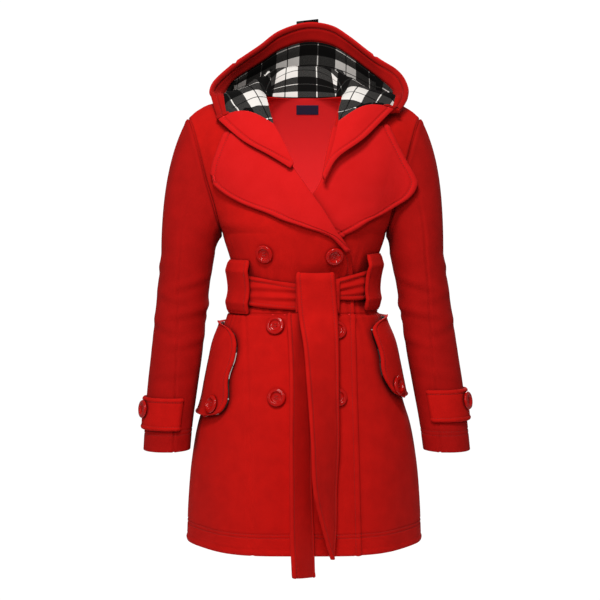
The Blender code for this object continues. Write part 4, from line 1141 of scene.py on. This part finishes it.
# The hood's flaps take the lighter copy of the coating, painted light, and its rim the darker copy, painted
# shade.
for part, rows, begin, skin, turned, sewn in (
    ("left", (0, SIDE), 0, lit_fleece, ("first",), ("last",)),
    ("rim", (SIDE, LAST - SIDE), LINED_SPANS, shaded_fleece, (), ("left",)),
    ("right", (LAST - SIDE, LAST), 0, lit_fleece, ("last",), ("first",)),
):
    worn = hood_piece(f"hood_facing_{part}", rows, (begin, END), turned, sewn, relief=band_relief, skin=skin)
    topstitch(worn, PIPED["stitch"], "right")
print("stitches", len(seams))

# %% [markdown]
# ## The belt
# A belt of double cloth goes through two wide loops and is tied in front: one end wraps over the
# other and both hang down. It is one loose strip on the real coat. A strip that is tied well is
# hard to simulate and easy to follow, so each stretch that shows is its own grid on the
# waist: the band with its crossed lip in front, the wrap, and two tails that turn as they hang.

# %% Band of the belt
STRAP_STITCH = 5.0
BELT_START, BELT_END = -8.0, 50.0
BELT_LINE = Table(
    ("angle", "middle", "width"),
    ((90, -322, 42), (110, -317, 46), (135, -311, 49), (180, -305, 53), (270, -300, 55), (360, -299, 53),
     (405, -303, 45), (430, -308, 33)),
)


def band_height(angle, z):
    """The height under the belt at this angle."""
    front = front_height(torso_point(angle, z)[..., 0], z)
    return np.where(np.asarray(angle) % 360.0 > 180.0, 0.0, front)


def belt_band():
    """The stretch round the waist, from one side of the wrap round the back to the other."""
    first, last = (float(angle_at(x, WAIST)) for x in (BELT_START, BELT_END))
    angles = np.linspace(first, 360.0 + last, 260)[None, :]
    shares = spread(24, 50.0, STRAP_EDGE)[:, None] - 0.5
    middle, width = BELT_LINE.at("middle", angles), BELT_LINE.at("width", angles)
    z = middle + shares * width
    crown = 2.0 * (1 - (2 * shares) ** 2)
    near_knot = np.maximum(smooth_step(-angles, -175, -105), smooth_step(angles, 375, 415))
    fold = 1.5 * near_knot * np.cos(shares * 17.0 + angles / 14.0) * (1 - (2 * shares) ** 4)
    soft = 0.7 * np.sin(np.radians(angles) * 11 + shares * 4.0)
    grid = on_torso(angles, z, band_height(angles, z) + 2 * LAY + DOUBLE + crown)
    return cloth("belt_band", grid, AXIS, DOUBLE, relief=fold + soft, held="stretched", stitch=STRAP_STITCH,
                 turned=("first", "last"), rests_on=["back", "front_over"])


topstitch(belt_band(), STRAP_STITCH, "first", "last")

# %% The wrap and the two tails
KNOT = {"left": -13.0, "right": 54.0, "bottom": -349.0, "top": -292.0, "swell": 7.5}
TAIL_FRONT = Table(
    ("height", "middle", "half_width", "turn", "stand"),
    ((-281, 18, 29, 0, 15), (-288, 18, 29.5, 0, 20), (-300, 19, 29.5, 0, 21.8), (-339, 22, 30, 4, 23.1),
     (-394, 28, 30, 27, 29), (-450, 31, 30, 36, 34), (-514, 34, 30, 42, 36), (-550, 35, 30, 46, 36),
     (-628, 36, 30, 55, 35), (-690, 42, 17, 55, 29), (-738, 46, 3, 55, 25)),
)
TAIL_BACK = Table(
    ("height", "middle", "half_width", "turn", "stand"),
    ((-347.2, -6, 20, 12, 14.5), (-360, -7, 22, 34, 18), (-400, -6, 24, 50, 22), (-480, -4, 26, 54, 26),
     (-560, -4, 27, 55, 27), (-640, -3, 28, 55, 28), (-720, -1, 29, 55, 29), (-772, 1, 29, 55, 30)),
)


def belt_knot():
    """The wrap where the ends cross: a soft double strip over the two ends of the band."""
    columns, rows = np.linspace(KNOT["left"], KNOT["right"], 54), np.linspace(KNOT["bottom"], KNOT["top"], 46)
    x, z = np.meshgrid(columns, rows)
    across = 2 * (x - KNOT["left"]) / (KNOT["right"] - KNOT["left"]) - 1
    up = 2 * (z - KNOT["bottom"]) / (KNOT["top"] - KNOT["bottom"]) - 1
    crown = np.sqrt(np.maximum(1 - across**4, 0.0) * np.maximum(1 - up**4, 0.0))
    rest = front_height(x, z) + 2 * LAY
    backing = on_front(x, z, rest + DOUBLE + 2.7)
    grid = on_front(x, z, rest + DOUBLE + 4.5 + KNOT["swell"] * crown)
    folds = 1.1 * np.cos((x * 0.35 + z) / 5.2) * crown
    cloth("belt_knot", grid, BEHIND, backing=backing, relief=folds, held="folded", rests_on=["belt_band"])


def tail(name, table, slant, count=120, bow=1.6, wave_depth=0.9):
    """An end that hangs from the wrap and turns sideways on its way down."""
    heights = np.linspace(table.key[0], table.key[-1], count)[::-1]
    shares = 2 * spread(20, 58.0, STRAP_EDGE) - 1
    middle, half = table.at("middle", heights), table.at("half_width", heights)
    turn, stand = np.radians(table.at("turn", heights)), table.at("stand", heights)
    rest = on_front(middle, np.maximum(heights, HEM), front_height(middle, heights))[:, 1]
    across, out = half[:, None] * shares, bow * (1 - shares**2)
    cos, sin = np.cos(turn)[:, None], np.sin(turn)[:, None]
    x = middle[:, None] + across * cos + out * sin
    y = (rest - stand)[:, None] + across * sin - out * cos
    cut = slant * (1 - shares) * smooth_step(-heights, -table.key[0] - 60, -table.key[0])[:, None]
    grid = np.stack([x, y, heights[:, None] + cut], axis=-1)
    wave = wave_depth * np.sin(heights / 38.0)[:, None] * np.sin(shares * 2.2 + heights[:, None] / 60.0)
    return cloth(name, grid, BEHIND, DOUBLE, relief=wave, stitch=STRAP_STITCH, held="hung",
                 turned=("left", "right", "last"), rests_on=["belt_knot"])


belt_knot()
for worn in (tail("belt_tail_front", TAIL_FRONT, 0.0), tail("belt_tail_back", TAIL_BACK, 5.0)):
    topstitch(worn, STRAP_STITCH, "left", "right")


# %% Loops
def belt_loop(name, low, high, bottom, top):
    """A wide loop over the belt: it touches the coat at both ends and bridges between them."""
    shares = [np.linspace(0, 0.22, 20), np.linspace(0.24, 0.76, 24), np.linspace(0.78, 1, 20)]
    shares = np.concatenate(shares)[:, None]
    bridge = smooth_step(np.minimum(shares, 1 - shares), 0.0, 0.19)
    angles, z = np.meshgrid(low + (high - low) * spread(22, 48.0, STRAP_EDGE), top + (bottom - top) * shares)
    height = band_height(angles, z) + 0.85 * LAY + DOUBLE + bridge * (DOUBLE + 2.9 + 2 * LAY)
    worn = cloth(name, on_torso(angles, z, height), AXIS, DOUBLE, turned=("left", "right"), held="stretched",
                 stitch=STRAP_STITCH, sewn=("first", "last"), rests_on=["belt_band"])
    topstitch(worn, STRAP_STITCH, "left", "right")


belt_loop("belt_loop_left", 133.0, 166.0, -352.0, -258.0)
belt_loop("belt_loop_right", 40.0, 12.0, -346.0, -248.0)
print("stitches", len(seams))

# %% [markdown]
# ## Pocket flaps and cuff tabs
# Each pocket flap is red cloth lined with the check. It has a scalloped front edge, and the lining
# is cut a little larger, so a thin check piping shows round the edge. The cuff tabs are plain straps
# of double cloth held by one button. Both lie on their panel, so both are read from its form.

# %% Flaps
FLAP_EDGES = {
    # degrees round from the side seam, height
    "left": ((6, -370), (29, -376), (40, -385), (45.5, -398), (47, -412), (46.5, -430),
             (44.5, -447), (44, -463), (45.5, -480), (45.5, -498), (41, -515), (28, -523)),
    "right": ((6, -360), (29, -366), (38.5, -373), (42, -382), (42, -396), (41, -411),
              (40.5, -425), (41.5, -438), (41, -452), (38, -467), (32, -483), (21, -492)),
}
FLAP_BACK, FLAP_LIFT, FLAP_REST = -24.0, 5.0, 2 * LAY
FLAP_OUT = FLAP_REST + LINING + LAY + DOUBLE
FLAP_SIDES, FLAP_STITCH = ("right", "first", "last"), 6.0
PIPING = 0.6  # how far the lining stands out past the flap, in degrees round the coat


def flap_grid(side, height, grow):
    """Rows follow the scalloped edge; columns run from the back seam to the front edge."""
    edge = through(FLAP_EDGES[side], 8)
    count = len(edge)
    even = np.linspace(edge[0, 1], edge[-1, 1], count)
    shares = spread(44, 150.0, STRAP_EDGE + (8.0,))
    upright = smooth_step(np.arange(count), 5, 16) * smooth_step(count - 1 - np.arange(count), 5, 16)
    angle = FLAP_BACK + (edge[:, [0]] - FLAP_BACK) * shares
    angle += grow * upright[:, None] * smooth_step(shares, 0.9, 1.0)
    level = even[:, None] + (edge[:, [1]] - even[:, None]) * shares
    return on_torso(180.0 - angle if side == "left" else angle, level, height + FLAP_LIFT * shares**2)


for side, panel in (("left", "front_over"), ("right", "front_under")):
    inside, outside = flap_grid(side, FLAP_REST, PIPING), flap_grid(side, FLAP_REST + LINING, PIPING)
    cloth(f"flap_lining_{side}", outside, AXIS, backing=inside, skin=check_flannel, slot="check_flannel",
          held="folded", rests_on=[panel])
    inside, outside = flap_grid(side, FLAP_OUT - DOUBLE, 0.0), flap_grid(side, FLAP_OUT, 0.0)
    edge = turned_edge(to_edges(outside, *FLAP_SIDES), FLAP_STITCH)
    worn = cloth(f"pocket_flap_{side}", outside, AXIS, backing=inside, relief=edge, sewn=("left",),
                 held="folded", rests_on=[panel])
    topstitch(worn, FLAP_STITCH, *FLAP_SIDES)

# %% Cuff tabs
TAB_HEIGHTS = {"left": (-495, -545), "right": (-481, -530)}
TAB_TURN = (-14.0, 122.0)
TAB_OUT, TAB_SIDES = 1.2 * LAY + DOUBLE, ("left", "first", "last")


def on_sleeve(left, z, turn, height):
    """Points of the lower sleeve and their outward directions: the turn runs from outside to front."""
    z, turn = np.broadcast_arrays(np.asarray(z, float), np.asarray(turn, float))
    point, ahead = sleeve_ring(left, z, np.radians(turn)), sleeve_ring(left, z, np.radians(turn + 1))
    normal = unit(np.cross(ahead - point, sleeve_ring(left, z - 2, np.radians(turn)) - point))
    centre = (sleeve_ring(left, z, 0.0) + sleeve_ring(left, z, math.pi)) / 2
    normal = np.where(((point - centre) * normal).sum(axis=-1, keepdims=True) < 0, -normal, normal)
    return point + height * normal, normal


for side, is_left in (("left", True), ("right", False)):
    top, bottom = TAB_HEIGHTS[side]
    z = top + (bottom - top) * spread(16, 50.0, STRAP_EDGE)[:, None]
    turns = TAB_TURN[0] + (TAB_TURN[1] - TAB_TURN[0]) * spread(50, 100.0, STRAP_EDGE)[None, :]
    grid, outward = on_sleeve(is_left, z, turns, TAB_OUT)
    edge = turned_edge(to_edges(grid, *TAB_SIDES), STRAP_STITCH)
    worn = cloth(f"cuff_tab_{side}", grid, None, DOUBLE, normals=outward, relief=edge, sewn=("right",),
                 held="stretched", rests_on=[f"sleeve_{side}"])
    topstitch(worn, STRAP_STITCH, *TAB_SIDES)
print("stitches", len(seams))

# %% [markdown]
# ## Buttons
# Each button is turned: a flat back, a round rim 30 mm across and a shallow dish. A lathe makes it
# the same way that a spun profile does, so the profile below is turned round the button's own axis.
# It sits on its cloth at the same place and slope as its solid.

# %% Turning a button
HOLE = {"apart": 2.1, "radius": 1.0, "depth": 1.5}
BUTTON_PROFILE = (
    # radius, height
    *((0.1 + 0.3 * step, 2.3) for step in range(18)),
    (6.6, 2.35), (7.6, 2.5), (8.3, 2.9), (8.8, 3.6), (9.2, 4.5), (9.6, 5.2), (10.2, 5.6), (10.9, 5.7),
    (11.5, 5.5), (12.1, 5.25), (12.7, 5.3), (13.4, 5.35), (14.2, 5.0), (14.8, 4.3), (15.2, 3.4),
    (15.3, 2.6), (15.0, 1.7), (14.2, 1.0), (12.8, 0.5), (11.0, 0.1), (8.0, 0.1), (0.5, 0.1),
)
BUTTON_REST = 0.7
button_stitches = []


def button(name, place, normal, sides=60):
    """Turns the profile round the button's axis, sinks its four holes and threads them."""
    axis = unit(normal)
    across = unit(np.cross(axis, (0.0, 0.0, 1.0)))
    up = np.cross(across, axis)
    turns = np.linspace(0, 2 * math.pi, sides, endpoint=False)
    circle = np.stack([np.cos(turns), np.sin(turns)], axis=1)
    points = [place + axis * BUTTON_PROFILE[0][1]]
    for radius, height in BUTTON_PROFILE[1:-1]:
        to_hole = np.linalg.norm(np.abs(radius * circle) - HOLE["apart"], axis=1, keepdims=True)
        sunk = HOLE["depth"] * (1 - smooth_step(to_hole, 0.6 * HOLE["radius"], HOLE["radius"])) * (height > 2)
        points.extend(place + axis * (height - sunk) + radius * circle @ np.stack([across, up]))
    points.append(place + axis * BUTTON_PROFILE[-1][1])
    rings, last = len(BUTTON_PROFILE) - 2, len(points) - 1
    faces = []
    for k in range(sides):
        after = (k + 1) % sides
        faces.append([0, 1 + after, 1 + k])
        for near in range(1, 1 + (rings - 1) * sides, sides):
            faces.append([near + k, near + after, near + sides + after, near + sides + k])
        faces.append([last - sides + k, last - sides + after, last])
    wear(name + "_resin", make_mesh(name, points, faces, button_gloss), "red_button", name)
    t = np.linspace(-1.0, 1.0, 9)[:, None]
    for shift in (-HOLE["apart"], HOLE["apart"]):
        button_stitches.append(place + shift * up + HOLE["apart"] * t * across + (2.6 - 1.1 * t**4) * axis)


# %% Setting the buttons
FRONT_BUTTONS = {
    "button_chest_left": (-63.5, -248),
    "button_chest_right": (46.5, -249.5),
    "button_waist_left": (-46.5, -368.5),
    "button_waist_right": (53, -376),
    "button_hip_left": (-44.5, -484),
    "button_hip_right": (54, -484),
}
for name, (x, z) in FRONT_BUTTONS.items():
    below, above = (on_front(x, z + dz, over_height(x, z + dz)) for dz in (-10, 10))
    before, beyond = (on_front(x + dx, z, over_height(x + dx, z)) for dx in (-10, 10))
    normal = unit(np.cross(beyond - before, above - below))
    button(name, (below + above + before + beyond) / 4 + BUTTON_REST * normal, normal)
for side, forward, z in (("left", 34.0, -502), ("right", 29.0, -472)):
    angle = 180.0 - forward if side == "left" else forward
    edge = np.interp(-z, [-row[1] for row in FLAP_EDGES[side]], [row[0] for row in FLAP_EDGES[side]])
    share = (forward - FLAP_BACK) / (edge - FLAP_BACK)
    height = FLAP_OUT + BUTTON_REST + FLAP_LIFT * share**2
    button(f"button_pocket_{side}", on_torso(angle, z, height), torso_normal(angle, z))
for name, is_left, z in (("button_cuff_left", True, -513), ("button_cuff_right", False, -499)):
    button(name, *on_sleeve(is_left, z, 28.0, TAB_OUT + BUTTON_REST))
wear("button_thread", thread_mesh("button_thread", button_stitches, 0.7, 8), "red_fleece")
wear("topstitching", thread_mesh("topstitching", seams, STITCH["radius"], STITCH["sides"]), "red_fleece")
print("button stitches", len(button_stitches), "topstitches", len(seams))

# %% [markdown]
# ## Label and tab
# A plain navy tape is sewn at the back of the neck, and a short folded tab of the check flannel
# stands on the middle of the hood's rim. Both are small flat cloths laid on the form behind them.

# %% Neck label
LABEL = {"middle": 6.0, "width": 38.0, "top": 9.0, "bottom": -6.0, "thickness": 0.7}
z = np.linspace(LABEL["top"], LABEL["bottom"], 24)[:, None]
x = LABEL["middle"] + LABEL["width"] * np.linspace(-0.5, 0.5, 48)[None, :]
label_grid = on_torso(360.0 - angle_at(x, z, front=False), z, -CLOTH - LAY)
cloth("neck_label", label_grid, BEHIND, LABEL["thickness"], skin=navy_tape, slot="navy_tape", held="laid",
      rests_on=["back"])

# %% Hood tab
rim_shell = hood_face - hood_in * HOOD_STACK
rim_point = rim_shell[middle_row, END]
out = unit(rim_point - hood_face[middle_row, END])
along = unit(rim_shell[middle_row + 6, END] - rim_shell[middle_row - 6, END])
lean = unit(hood_face[middle_row, END] - hood_face[middle_row, END - 1])
rise = np.linspace(-9.0, 3.0, 26)[:, None, None]
share = np.linspace(-1.0, 1.0, 40)[None, :, None]
bend = LAY + 1.6 + 0.1 * np.maximum(rise, 0.0)
tab_grid = rim_point + out * bend + along * (19.0 * share + 3.0) + lean * rise
tab_marks = np.concatenate(np.broadcast_arrays(rise + 45.0, 19.0 * share + 52.0), axis=2)
cloth("hood_tab", tab_grid, hood_face[middle_row, END], 1.6, skin=check_flannel, slot="check_flannel",
      held="folded", rests_on=["hood_centre"], marks=tab_marks)
